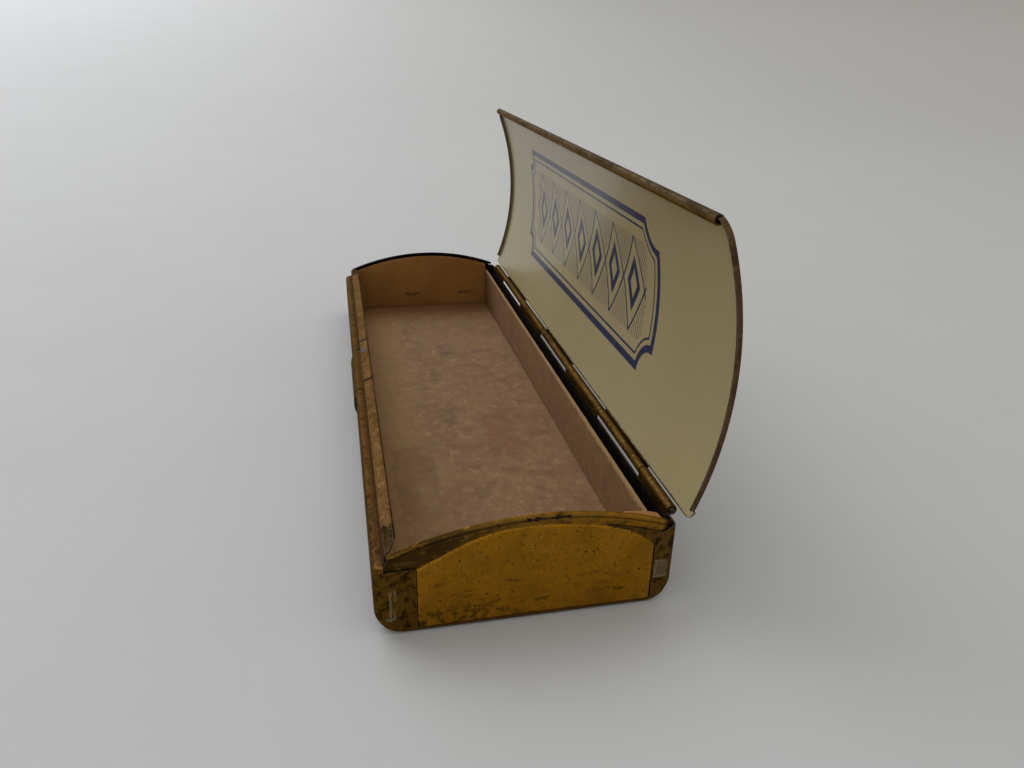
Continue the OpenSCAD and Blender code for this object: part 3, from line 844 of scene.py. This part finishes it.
def tray(f):
    """Bottom, walls, laps, shoulder and ledge, as one sheet"""
    s = f.s
    stations = tray_stations(f)
    bend = s.fold - s.sheet / 2
    toe_angle = math.degrees(math.acos((s.fold - s.toe_lap) / bend))
    angles = [*steps(0, toe_angle, 8), *steps(toe_angle, 90, 14)[1:]]
    root = (f.tongue_root - 0.1 * MM - s.fold) / (s.shoulder_base - s.fold)
    wall = [root * 0.5, root, *steps(root, 1, 7)[1:]]

    def slit(station, z):
        return station[0] == "front" and abs(station[1]) < f.tongue_half + s.slit - 1e-7 and z > f.tongue_root

    rows = []
    ring = [tray_point(f, st, s.sheet / 2, 0) for st in stations]
    span = f.half_w - s.fold
    for hole in (22, 14, 7, 2.5):
        rows.append([Vector((p.x * (1 - hole * MM / f.half_l), p.y * (1 - hole * MM / span), p.z))
                     for p in ring])
    for angle in angles:
        z = s.fold - bend * math.cos(math.radians(angle))
        opened = z > s.toe_lap + 1e-6
        rows.append([None if opened and st[0] == "toe" else tray_point(f, st, z, 0) for st in stations])
    for share in wall:
        row = []
        for st in stations:
            z = None if st[0] == "toe" else s.fold + (tray_top(f, st) - s.fold) * share
            row.append(None if z is None or slit(st, z) else tray_point(f, st, z, 0))
        rows.append(row)
    shoulder = s.shoulder - s.sheet / 2
    edge = f.riser + f.half_w + s.sheet / 2
    insets = [(s.shoulder - shoulder * math.cos(a), s.shoulder_base + shoulder * math.sin(a))
              for a in steps(0, math.pi / 2, 5)[1:]]
    insets += [(i, f.ledge - s.sheet / 2) for i in steps(s.shoulder, edge, 3)[1:]]
    for inset, z in insets:
        rows.append([tray_point(f, st, z, inset)
                     if (st[0] == "front" and not slit(st, z)) or (st[0] == "corner" and st[1] < 0) else None
                     for st in stations])
    bm = bmesh.new()
    verts = quads(bm, rows, closed=True)
    bm.faces.new(verts[0])
    bmesh.ops.recalc_face_normals(bm, faces=bm.faces)
    finished("body_sheet", bm, [brown_lacquer(), shaded_inner_tinplate(), raw_edge()], "tin",
             ["body_shell"], s.sheet, (1, 2))


def lip_rows(f, start, reach):
    """Rows of the lip's middle surface as (y, z), from the groove over the strip to the hem"""
    s = f.s
    half = s.sheet / 2
    turn = 0.35 * MM
    riser_y = f.riser + half
    top = f.arch.at(riser_y, -half)
    rows = [(riser_y, z) for z in steps(start, top - turn, 4)]
    rows += [(riser_y + turn * (1 - math.cos(a)), top - turn + turn * math.sin(a))
             for a in steps(0, math.pi / 2, 4)[1:]]
    rows += [(y, f.arch.at(y, -half)) for y in steps(riser_y + turn * 1.3, f.lip_in - half - turn, 7)]
    last = f.arch.at(f.lip_in, -half)
    rows += [(f.lip_in - half - turn + turn * math.sin(a), last - turn + turn * math.cos(a))
             for a in steps(0, math.pi / 2, 4)[1:]]
    rows += [(f.lip_in - half, z) for z in steps(last - turn, last - reach, 2)[1:]]
    return rows


def lip(f):
    """Sloping strip with its riser and hem, on both sides of the tongue"""
    s = f.s
    for name, side in (("lip_right", 1), ("lip_left", -1)):
        rows = []
        for y, z in lip_rows(f, f.ledge - s.sheet / 2, s.lip_hem):
            back = min((y - f.riser) / (s.lip + 0.1 * MM), 1)
            end = f.lip_half - s.lip_end * back ** 3
            rows.append([Vector((side * x, y, z)) for x in steps(f.tongue_half + s.slit, end, 70)])
        finished(name, woven(rows), [tan_lacquer(), raw_edge()], "tin", [], s.sheet, (0, 1),
                 0.06 * MM, even=False)


class TIN_OT_catch(bpy.types.Operator):
    """Spring tongue of the catch, cut from the front wall and the lip"""

    bl_idname = "tin.catch"
    bl_label = "Catch tongue"

    def execute(self, context):
        f = form()
        s = f.s
        half = s.sheet / 2
        low = f.tongue_root + s.swell_rise
        rows = []
        for z in steps(f.tongue_root, s.shoulder_base, 22):
            t = min(max((z - low) / s.swell_height, 0), 1)
            rows.append((-f.half_w + half - s.swell * math.sin(math.pi * t) ** 0.8, z))
        shoulder = s.shoulder - half
        rows += [(-f.half_w + s.shoulder - shoulder * math.cos(a), s.shoulder_base + shoulder * math.sin(a))
                 for a in steps(0, math.pi / 2, 5)[1:]]
        rows += [(y, f.ledge - half) for y in steps(-f.half_w + s.shoulder, f.riser + half, 3)[1:]]
        rows += lip_rows(f, f.ledge - half, s.lip_hem)[1:]
        bm = woven([[Vector((x, y, z)) for x in steps(-f.tongue_half, f.tongue_half, 36)] for y, z in rows])
        finished("catch_tongue_sheet", bm, [tan_lacquer(), raw_edge()], "catch",
                 ["catch_tongue"], s.sheet, (0, 1), 0.06 * MM)
        return {"FINISHED"}


# How far the plates round off at the top corners, under the ends of their beads
END_ROUND = 1.2 * MM


class TIN_OT_ends(bpy.types.Operator):
    """Arched end plates with their raised panels and rolled beads"""

    bl_idname = "tin.ends"
    bl_label = "End plates"

    def execute(self, context):
        f = form()
        s = f.s
        inset = f.half_l - f.plate_out
        inner_corner = s.corner - s.sheet
        ahead = f.plate_out - (f.half_l - s.corner)
        half_y = f.half_w - s.corner + math.sqrt(inner_corner ** 2 - ahead ** 2) - 0.05 * MM
        bend = s.fold - inset
        gold, edge = gold_lacquer(), raw_edge()
        for name, side in (("right", 1), ("left", -1)):
            rows = []
            for share in steps(0, 1, 70):
                row = []
                for y in steps(-half_y, half_y, 170):
                    over_fold = max(abs(y) - (f.half_w - s.fold), 0)
                    low = inset + bend - math.sqrt(max(bend ** 2 - over_fold ** 2, 0))
                    high = f.arch.at(y, -s.bead / 2) if y > f.riser else f.ledge - s.sheet
                    high -= END_ROUND * smooth(half_y - END_ROUND, half_y, y) ** 2
                    if y > f.riser:
                        high -= END_ROUND * (1 - smooth(f.riser, f.riser + 1.0 * MM, y))
                    z = low + (high - low) * share
                    x = f.plate_out - s.sheet / 2 + s.sheet * smooth(0, 0.35 * MM, panel_depth(f, y, z))
                    row.append(Vector((side * x, y, z)))
                rows.append(row)
            finished(f"end_sheet_{name}", woven(rows), [gold, edge], "tin",
                     [f"end_plate_{name}"], s.sheet, (0, 1))
        bead(f, gold)
        return {"FINISHED"}


def panel_depth(f, y, z):
    """How far a point of the end plate lies inside the raised panel's outline"""
    s = f.s
    front, back = -f.half_w + s.front_lap, f.half_w - s.back_lap
    slope = (panel_top(y + 0.1 * MM) - panel_top(y - 0.1 * MM)) / (0.2 * MM)
    below = (panel_top(y) - z) / math.hypot(1, slope)
    return min(y - front, back - y, z - s.toe_lap, below)


def new_tree(name, **inputs):
    """Geometry node tree with inputs named by kind, then the inputs' sockets and their identifiers"""
    tree = bpy.data.node_groups.new(name, "GeometryNodeTree")
    tree.interface.new_socket("Geometry", in_out="OUTPUT", socket_type="NodeSocketGeometry")
    keys = {}
    for kind, titles in inputs.items():
        for title in titles:
            socket = tree.interface.new_socket(title, in_out="INPUT", socket_type=f"NodeSocket{kind}")
            keys[title] = socket.identifier
    return tree, node(tree, "NodeGroupInput").outputs, keys


def planted(tree, points, shape, material, scale=(1, 1, 1)):
    """Ends a tree: the shape set on every point, made real and given its material"""
    spread = node(tree, "GeometryNodeInstanceOnPoints", {"Points": points, "Instance": shape, "Scale": scale})
    real = node(tree, "GeometryNodeRealizeInstances", {"Geometry": spread.outputs[0]})
    dressed = node(tree, "GeometryNodeSetMaterial", {"Geometry": real.outputs[0], "Material": material})
    node(tree, "NodeGroupOutput", {0: dressed.outputs[0]})


def grown(name, tree, keys, values, body, sheet=0.0, edge=None):
    """Piece grown by a geometry node tree from the values given; a sheet gets its wall and its cut edge"""
    piece = laid(name, bmesh.new(), ())
    grow = piece.modifiers.new("Growth", "NODES")
    grow.node_group = tree
    for title, value in values.items():
        grow[keys[title]] = value
    if sheet:
        thickened(piece, sheet, (0, 1), 0.05 * MM)
    settled(piece, body, [])
    if edge:
        piece.data.materials.append(edge)


def bead_tree():
    """Round bead along an arc in the YZ plane, at both ends of the tin"""
    tree, given, keys = new_tree(
        "Rolled bead", Vector=["Centre"], Material=["Material"],
        Float=["Arc radius", "Start angle", "Sweep angle", "Bead radius", "Half spacing"])
    arc = node(tree, "GeometryNodeCurveArc", {"Resolution": 120, "Radius": given["Arc radius"],
                                              "Start Angle": given["Start angle"],
                                              "Sweep Angle": given["Sweep angle"]}, mode="RADIUS")
    upright = node(tree, "GeometryNodeTransform",
                   {"Geometry": arc.outputs[0], "Rotation": (math.pi / 2, 0, math.pi / 2),
                    "Translation": given["Centre"]})
    profile = node(tree, "GeometryNodeCurvePrimitiveCircle",
                   {"Resolution": 16, "Radius": given["Bead radius"]})
    tube = node(tree, "GeometryNodeCurveToMesh",
                {"Curve": upright.outputs[0], "Profile Curve": profile.outputs[0], "Fill Caps": True})
    span = node(tree, "ShaderNodeMath", {0: given["Half spacing"], 1: -1.0}, operation="MULTIPLY")
    start = node(tree, "ShaderNodeCombineXYZ", {"X": span.outputs[0]})
    stop = node(tree, "ShaderNodeCombineXYZ", {"X": given["Half spacing"]})
    ends = node(tree, "GeometryNodeMeshLine", {"Count": 2, "Start Location": start.outputs[0],
                                               "Offset": stop.outputs[0]}, mode="END_POINTS")
    planted(tree, ends.outputs[0], tube.outputs[0], given["Material"])
    return tree, keys


def bead(f, material):
    """Rolled upper edge of both end plates"""
    s = f.s
    tree, keys = bead_tree()
    radius = f.arch.radius - s.bead / 2
    start, stop = (math.atan2(f.arch.at(y, -s.bead / 2) - f.arch.z, y - f.arch.y)
                   for y in (f.half_w - END_ROUND, f.riser + END_ROUND / 2))
    grown("end_beads", tree, keys, {
        "Arc radius": radius, "Start angle": start, "Sweep angle": stop - start,
        "Centre": (0.0, f.arch.y, f.arch.z), "Bead radius": s.bead / 2,
        "Half spacing": f.plate_out - s.bead / 2, "Material": material}, "tin")


def rolled_tree():
    """Leaves of sheet that run into a roll round an axis, in a row along X"""
    tree, given, keys = new_tree(
        "Rolled leaves", Int=["Count", "Which", "Rows"], Vector=["Axis"], Material=["Material"],
        Float=["Pitch", "Inner length", "End length", "Reach", "Radius", "Tighten", "Start angle",
               "Roll angle", "Leaf", "Turn"])

    def calc(operation, one, other=0.0):
        return node(tree, "ShaderNodeMath", {0: one, 1: other}, operation=operation).outputs[0]

    # the leaf and its roll, one unit long
    sheet = node(tree, "GeometryNodeMeshGrid", {"Size X": 1.0, "Size Y": 1.0, "Vertices X": given["Rows"],
                                                "Vertices Y": 40})
    position = node(tree, "GeometryNodeInputPosition").outputs[0]
    place = node(tree, "ShaderNodeSeparateXYZ", {0: position}).outputs
    share = calc("ADD", place[1], 0.5)
    roll_length = calc("MULTIPLY", given["Radius"], given["Roll angle"])
    run = calc("MULTIPLY", share, calc("ADD", roll_length, given["Leaf"]))
    straight = calc("MAXIMUM", calc("SUBTRACT", given["Leaf"], run), 0.0)
    rolled = calc("DIVIDE", calc("MAXIMUM", calc("SUBTRACT", run, given["Leaf"]), 0.0), given["Radius"])
    angle = calc("SUBTRACT", given["Start angle"], calc("MULTIPLY", rolled, given["Turn"]))
    radius = calc("SUBTRACT", given["Radius"], calc("MULTIPLY", rolled, given["Tighten"]))
    back = calc("MULTIPLY", straight, given["Turn"])
    leaf_y = calc("MULTIPLY", back, calc("SINE", given["Start angle"]))
    leaf_z = calc("MULTIPLY", back, calc("COSINE", given["Start angle"]))
    y = calc("SUBTRACT", calc("MULTIPLY", radius, calc("COSINE", angle)), leaf_y)
    z = calc("ADD", calc("MULTIPLY", radius, calc("SINE", angle)), leaf_z)
    shape = node(tree, "ShaderNodeCombineXYZ", {"X": place[0], "Y": y, "Z": z})
    moved = node(tree, "ShaderNodeVectorMath", {0: shape.outputs[0], 1: given["Axis"]}, operation="ADD")
    leaf = node(tree, "GeometryNodeSetPosition", {"Geometry": sheet.outputs[0], "Position": moved.outputs[0]})

    # the places along X, of which every other one is kept
    half_count = calc("MULTIPLY", calc("SUBTRACT", given["Count"], 1.0), -0.5)
    start = node(tree, "ShaderNodeCombineXYZ", {"X": calc("MULTIPLY", half_count, given["Pitch"])})
    offset = node(tree, "ShaderNodeCombineXYZ", {"X": given["Pitch"]})
    line = node(tree, "GeometryNodeMeshLine", {"Count": given["Count"], "Start Location": start.outputs[0],
                                               "Offset": offset.outputs[0]}, mode="OFFSET")
    index = node(tree, "GeometryNodeInputIndex").outputs[0]
    parity = calc("FLOORED_MODULO", calc("ADD", index, given["Which"]), 2.0)
    kept = node(tree, "GeometryNodeDeleteGeometry", {"Geometry": line.outputs[0], "Selection": parity},
                domain="POINT")
    spot = place[0]
    far = calc("GREATER_THAN", calc("ABSOLUTE", spot),
               calc("MULTIPLY", calc("SUBTRACT", calc("MULTIPLY", given["Count"], 0.5), 1.0), given["Pitch"]))
    long = calc("ADD", given["Inner length"],
                calc("MULTIPLY", far, calc("SUBTRACT", given["End length"], given["Inner length"])))
    limit = calc("SUBTRACT", given["Reach"], calc("MULTIPLY", long, 0.5))
    inside = calc("MULTIPLY", calc("SIGN", spot), calc("MINIMUM", calc("ABSOLUTE", spot), limit))
    scale = node(tree, "ShaderNodeCombineXYZ", {"X": long, "Y": 1.0, "Z": 1.0})
    stored = node(tree, "GeometryNodeStoreNamedAttribute",
                  {"Geometry": kept.outputs[0], "Name": "size", "Value": scale.outputs[0]},
                  data_type="FLOAT_VECTOR", domain="POINT")
    spots = node(tree, "GeometryNodeSetPosition", {"Geometry": stored.outputs[0], "Position": node(
        tree, "ShaderNodeCombineXYZ", {"X": inside}).outputs[0]})
    size = node(tree, "GeometryNodeInputNamedAttribute", {"Name": "size"}, data_type="FLOAT_VECTOR")
    planted(tree, spots.outputs[0], leaf.outputs[0], given["Material"], size.outputs[0])
    return tree, keys


def turned(f, point):
    """A point of the closed lid, swung open about the pin"""
    pin = Matrix.Translation(f.pin)
    return pin @ Matrix.Rotation(-f.open, 4, "X") @ pin.inverted() @ Vector(point)


class TIN_OT_hinge(bpy.types.Operator):
    """Rolled knuckles of the body and the lid, and the wire through them"""

    bl_idname = "tin.hinge"
    bl_label = "Hinge"

    def execute(self, context):
        f = form()
        s = f.s
        tree, keys = rolled_tree()
        gold, edge = knuckle_lacquer(), raw_edge()
        inner = s.pitch - s.knuckle_gap
        end = f.hinge_half - (s.knuckles - 2) / 2 * s.pitch - s.knuckle_gap / 2
        common = {"Count": s.knuckles, "Pitch": s.pitch, "Inner length": inner, "End length": end,
                  "Reach": f.hinge_half, "Radius": f.wrap, "Tighten": 0.0, "Turn": 1.0, "Axis": f.pin,
                  "Rows": 30, "Material": gold}
        grown("knuckles_body", tree, keys, {
            **common, "Which": 0, "Start angle": math.pi, "Leaf": f.pin.z - f.notch,
            "Roll angle": math.radians(300)}, "tin", s.sheet, edge)
        rear = f.pin.y - s.lid_setback
        away = Vector((0, rear, f.arch.at(rear, s.lid_gap + s.sheet / 2))) - f.pin
        reach = math.hypot(away.y, away.z)
        start = math.atan2(away.z, away.y) - math.acos(f.wrap / reach)
        grown("knuckles_lid", tree, keys, {
            **common, "Which": 1, "Start angle": start - f.open, "Leaf": math.sqrt(reach ** 2 - f.wrap ** 2),
            "Roll angle": math.radians(275)}, "lid", s.sheet, edge)
        low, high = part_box("hinge_wire")
        bm = bmesh.new()
        bmesh.ops.create_cone(bm, cap_ends=True, segments=32, radius1=s.wire / 2, radius2=s.wire / 2,
                              depth=high.x - low.x)
        rims = [edge for edge in bm.edges if edge.calc_length() < s.wire]
        bmesh.ops.bevel(bm, geom=rims, offset=0.12 * MM, segments=3, affect="EDGES", profile=0.5)
        bmesh.ops.transform(bm, matrix=Matrix.Translation(f.pin) @ Matrix.Rotation(math.pi / 2, 4, "Y"),
                            verts=bm.verts)
        finished("wire", bm, [steel_wire()], "tin", ["hinge_wire"])
        return {"FINISHED"}


class TIN_OT_lid(bpy.types.Operator):
    """Domed lid with its end flanges and the curl along its front edge"""

    bl_idname = "tin.lid"
    bl_label = "Lid"

    def execute(self, context):
        f = form()
        s = f.s
        half = s.sheet / 2
        off = s.lid_gap + half - 0.004 * MM
        roll = s.curl / 2 - half
        front = -f.half_w - f.proud
        axis_y = front + s.curl / 2
        out = f.arch.radius + s.lid_gap + s.sheet - s.curl / 2
        axis = Vector((0, axis_y, f.arch.z + math.sqrt(out ** 2 - (axis_y - f.arch.y) ** 2)))
        start = math.atan2(axis.z - f.arch.z, axis_y - f.arch.y)
        edge_y = axis_y + roll * math.cos(start)
        turn = edge_y - front - half
        corner = s.lid_front - half - turn
        wide = f.lid_half - half - turn
        rear = f.pin.y - s.lid_setback
        bend = rear - s.lid_back
        straight = bend + 0.01 * MM
        ys = [edge_y + corner * (1 - math.cos(a)) for a in steps(0, math.pi / 2, 9)]
        ys += steps(ys[-1], bend, 40)[1:]
        ys += [bend + 0.02 * MM]
        ys += [bend + s.lid_back * math.sin(a) for a in steps(0, math.pi / 2, 9)[1:]]
        rows, rim = [], []
        for y in ys:
            ahead = max(edge_y + corner - y, 0)
            behind = max(y - bend, 0)
            end = wide - corner + math.sqrt(max(corner ** 2 - ahead ** 2, 0))
            end += turn + half if y > straight else 0
            end -= s.lid_back - math.sqrt(max(s.lid_back ** 2 - behind ** 2, 0))
            even = wide - corner - 3 * MM
            xs = [*steps(0, even, 60), *steps(even, end, 6)[1:]]
            xs = [-x for x in reversed(xs[1:])] + xs
            rows.append([turned(f, (x, y, f.arch.at(y, off))) for x in xs])
            if y <= straight:
                rim.append((end, y, math.asin(min(ahead / corner, 1))))

        def flange(side, fold, drop):
            """Row of an end flange: round the fold by an angle, then down by a drop"""
            row = []
            for end, y, angle in rim:
                point = Vector((end, y, f.arch.at(y, off)))
                outward = Vector((math.cos(angle), -math.sin(angle), 0))
                down = -f.arch.normal(y, off)
                point += outward * turn * math.sin(fold) + down * (turn * (1 - math.cos(fold)) + drop)
                point.x *= side
                row.append(turned(f, point))
            return row

        bm = bmesh.new()
        quads(bm, rows)
        for side in (1, -1):
            folds = [flange(side, angle, 0) for angle in steps(0, math.pi / 2, 5)]
            folds += [flange(side, math.pi / 2, drop) for drop in steps(0, s.flange - s.sheet - turn, 4)[1:]]
            quads(bm, folds)
        bmesh.ops.remove_doubles(bm, verts=bm.verts, dist=0.01 * MM)
        bmesh.ops.recalc_face_normals(bm, faces=bm.faces)
        middle = min(bm.faces, key=lambda face: abs(face.calc_center_median().x))
        if middle.normal.y < 0:
            bmesh.ops.reverse_faces(bm, faces=bm.faces)
        edge = raw_edge()
        finished("lid_sheet", bm, [outside_lacquer(), cream_enamel(), edge], "lid",
                 ["lid_shell"], s.sheet, (1, 2))
        tree, keys = rolled_tree()
        # the curl runs on past the round corners, by 1.3 mm at each end
        grown("lid_curl", tree, keys, {
            "Count": 1, "Which": 0, "Pitch": 1.0, "Inner length": 0.0,
            "End length": 2 * (wide - corner) + 2.6 * MM, "Reach": 1.0, "Radius": roll,
            "Tighten": 0.02 * MM, "Turn": -1.0, "Axis": turned(f, axis), "Rows": 160,
            "Start angle": start - f.open, "Leaf": 0.0, "Roll angle": math.radians(310),
            "Material": curl_lacquer()}, "lid", s.sheet, edge)
        return {"FINISHED"}


class TIN_OT_liner(bpy.types.Operator):
    """Card floor and walls that line the tin"""

    bl_idname = "tin.liner"
    bl_label = "Card liner"

    def execute(self, context):
        for material, along, names in ((liner_card(), "z", ["card_floor"]),
                                       (wall_card(), "y", ["card_wall_rear", "card_wall_front"]),
                                       (end_card(), "x", ["card_end_left", "card_end_right"])):
            for name in names:
                card(name, material, along)
        return {"FINISHED"}


# Drop of the end cards below the arch; the near one is torn at the rear into a flap that leans inwards
CARD_DROP = 1.25 * MM
FLAP_RISE = 0.95 * MM
FLAP_START = 18 * MM


def card(name, material, along):
    """Sheet of card over the middle of its CAD solid, a little warped and ragged at the top"""
    low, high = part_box(name)
    f = form()
    thick = getattr(high, along) - getattr(low, along)
    middle = (low + high) / 2
    rows = []
    if along == "z":
        for y in steps(low.y, high.y, 40):
            rows.append([Vector((x, y, middle.z + ripple((x, y, 0), 25 * MM, 0.04 * MM)))
                         for x in steps(low.x, high.x, 140)])
    elif along == "y":
        for share in steps(0, 1, 14):
            row = []
            for x in steps(low.x, high.x, 220):
                top = high.z - 0.12 * MM - ripple((x, 0, 0), 4 * MM, 0.1 * MM)
                row.append(Vector((x, middle.y, low.z + (top - low.z) * share)))
            rows.append(row)
    else:
        ys = steps(low.y, high.y, 110)
        near = middle.x > 0
        tops = [min(f.arch.at(y, -CARD_DROP), high.z) + near * FLAP_RISE * smooth(16 * MM, 19 * MM, y)
                for y in ys]
        for share in steps(0, 1, 16):
            rows.append([Vector((middle.x, y, low.z + (top - low.z) * share)) for y, top in zip(ys, tops)])
        for reach in steps(0, 1, 4)[1:] if near else ():
            row = []
            for y, top in zip(ys, tops):
                lean = 0.5 * MM + 1.3 * MM * smooth(FLAP_START, 24 * MM, y) + ripple((0, y, 0), 2 * MM, 0.4 * MM)
                point = Vector((middle.x - reach * lean, y, top - reach * 0.25 * MM))
                row.append(None if y < FLAP_START else point)
            rows.append(row)
    finished(f"{name}_sheet", woven(rows), [material], "tin", [name], thick, (0, 0), 0.08 * MM)


# Stage

# Camera worked out from the view, its angles in degrees and its lens in mm
CAMERA_PLACE = (207.16 * MM, -30.72 * MM, 102.76 * MM)
CAMERA_YAW, CAMERA_PITCH, CAMERA_ROLL = 12.92, 24.34, -1.47
CAMERA_LENS = 27.54
SENSOR_WIDTH = 36


class TIN_OT_stage(bpy.types.Operator):
    """Floor, backdrop, lights and the camera"""

    bl_idname = "tin.stage"
    bl_label = "Stage"

    def execute(self, context):
        scene = context.scene
        floor()
        lamps(scene)
        camera(scene)
        scene.view_settings.view_transform = "Standard"
        return {"FINISHED"}


def floor():
    """Pale floor that rises gently into a backdrop far behind the tin, painted lighter on the window's side"""
    c = bpy.context.scene.tin_colours

    def colour(tree, where, x, y, z):
        # painted light: paler on the window's side, darker on the far side
        base = over(tree, c.floor, ramp(tree, y, 0.9, -1.3), c.pale)
        return over(tree, base, both(tree, patches(tree, where, 60, 0.3, 0.7), 0.06), "#8F8E88")

    rows = []
    for along in steps(-3.2, 3.2, 32):
        row = []
        for away in steps(-1.0, 3.4, 88):
            run = max(away - 0.5, 0)
            row.append(Vector((-away, along, 0.15 * run * run / (run + 0.4))))
        rows.append(row)
    bm = woven(rows)
    if sum(face.normal.z for face in bm.faces) < 0:
        bmesh.ops.reverse_faces(bm, faces=bm.faces)
    piece = laid("floor", bm, [surface("Painted floor", colour, 0.75, rough_swing=0.03)])
    piece.data.polygons.foreach_set("use_smooth", [True] * len(piece.data.polygons))


def lamps(scene):
    """Window light from the far left under an even sky"""
    world = bpy.data.worlds.new("Studio")
    world.use_nodes = True
    sky = world.node_tree.nodes["Background"].inputs
    sky["Color"].default_value = linear("#FFFBF3")
    sky["Strength"].default_value = 0.73
    scene.world = world
    lamp = bpy.data.lights.new("window", "AREA")
    lamp.shape = "SQUARE"
    lamp.size = 2.4
    lamp.energy = 44.0
    holder = bpy.data.objects.new("window", lamp)
    holder.location = (-1.9, -1.15, 2.2)
    holder.rotation_mode = "QUATERNION"
    holder.rotation_quaternion = (-holder.location).to_track_quat("-Z", "Y")
    scene.collection.objects.link(holder)


def camera(scene):
    """Camera at the height and angle from which the tin is seen"""
    yaw, pitch, roll = (math.radians(a) for a in (CAMERA_YAW, CAMERA_PITCH, CAMERA_ROLL))
    ahead = Vector((-math.cos(yaw) * math.cos(pitch), math.sin(yaw) * math.cos(pitch), -math.sin(pitch)))
    level = ahead.cross(Vector((0, 0, 1))).normalized()
    below = ahead.cross(level)
    right = math.cos(roll) * level + math.sin(roll) * below
    down = -math.sin(roll) * level + math.cos(roll) * below
    view = Matrix((right, -down, -ahead)).transposed().to_4x4()
    view.translation = Vector(CAMERA_PLACE)
    data = bpy.data.cameras.new("camera")
    data.sensor_width = SENSOR_WIDTH
    data.lens = CAMERA_LENS
    data.clip_start = 0.01
    holder = bpy.data.objects.new("camera", data)
    holder.matrix_world = view
    scene.collection.objects.link(holder)
    scene.camera = holder


class TIN_PT_panel(bpy.types.Panel):
    """Lists the tin's settings and the steps that build it"""

    bl_label = "Pencil Tin"
    bl_idname = "TIN_PT_panel"
    bl_space_type = "VIEW_3D"
    bl_region_type = "UI"
    bl_category = "Pencil Tin"

    def draw(self, context):
        layout = self.layout
        for group in (context.scene.tin_sizes, context.scene.tin_colours):
            column = layout.column(align=True)
            for name in group.__annotations__:
                column.prop(group, name)
        for step in STEPS:
            layout.operator(step.bl_idname)


STEPS = (TIN_OT_body, TIN_OT_catch, TIN_OT_ends, TIN_OT_hinge, TIN_OT_lid, TIN_OT_liner, TIN_OT_stage)
CLASSES = (TinSizes, TinColours, *STEPS, TIN_PT_panel)


def register():
    for item in CLASSES:
        bpy.utils.register_class(item)
    bpy.types.Scene.tin_sizes = PointerProperty(type=TinSizes)
    bpy.types.Scene.tin_colours = PointerProperty(type=TinColours)


def unregister():
    del bpy.types.Scene.tin_colours
    del bpy.types.Scene.tin_sizes
    for item in reversed(CLASSES):
        bpy.utils.unregister_class(item)


def main():
    register()
    bpy.ops.tin.body()
    bpy.ops.tin.catch()
    bpy.ops.tin.ends()
    bpy.ops.tin.hinge()
    bpy.ops.tin.lid()
    bpy.ops.tin.liner()
    bpy.ops.tin.stage()


if __name__ == "__main__":
    main()
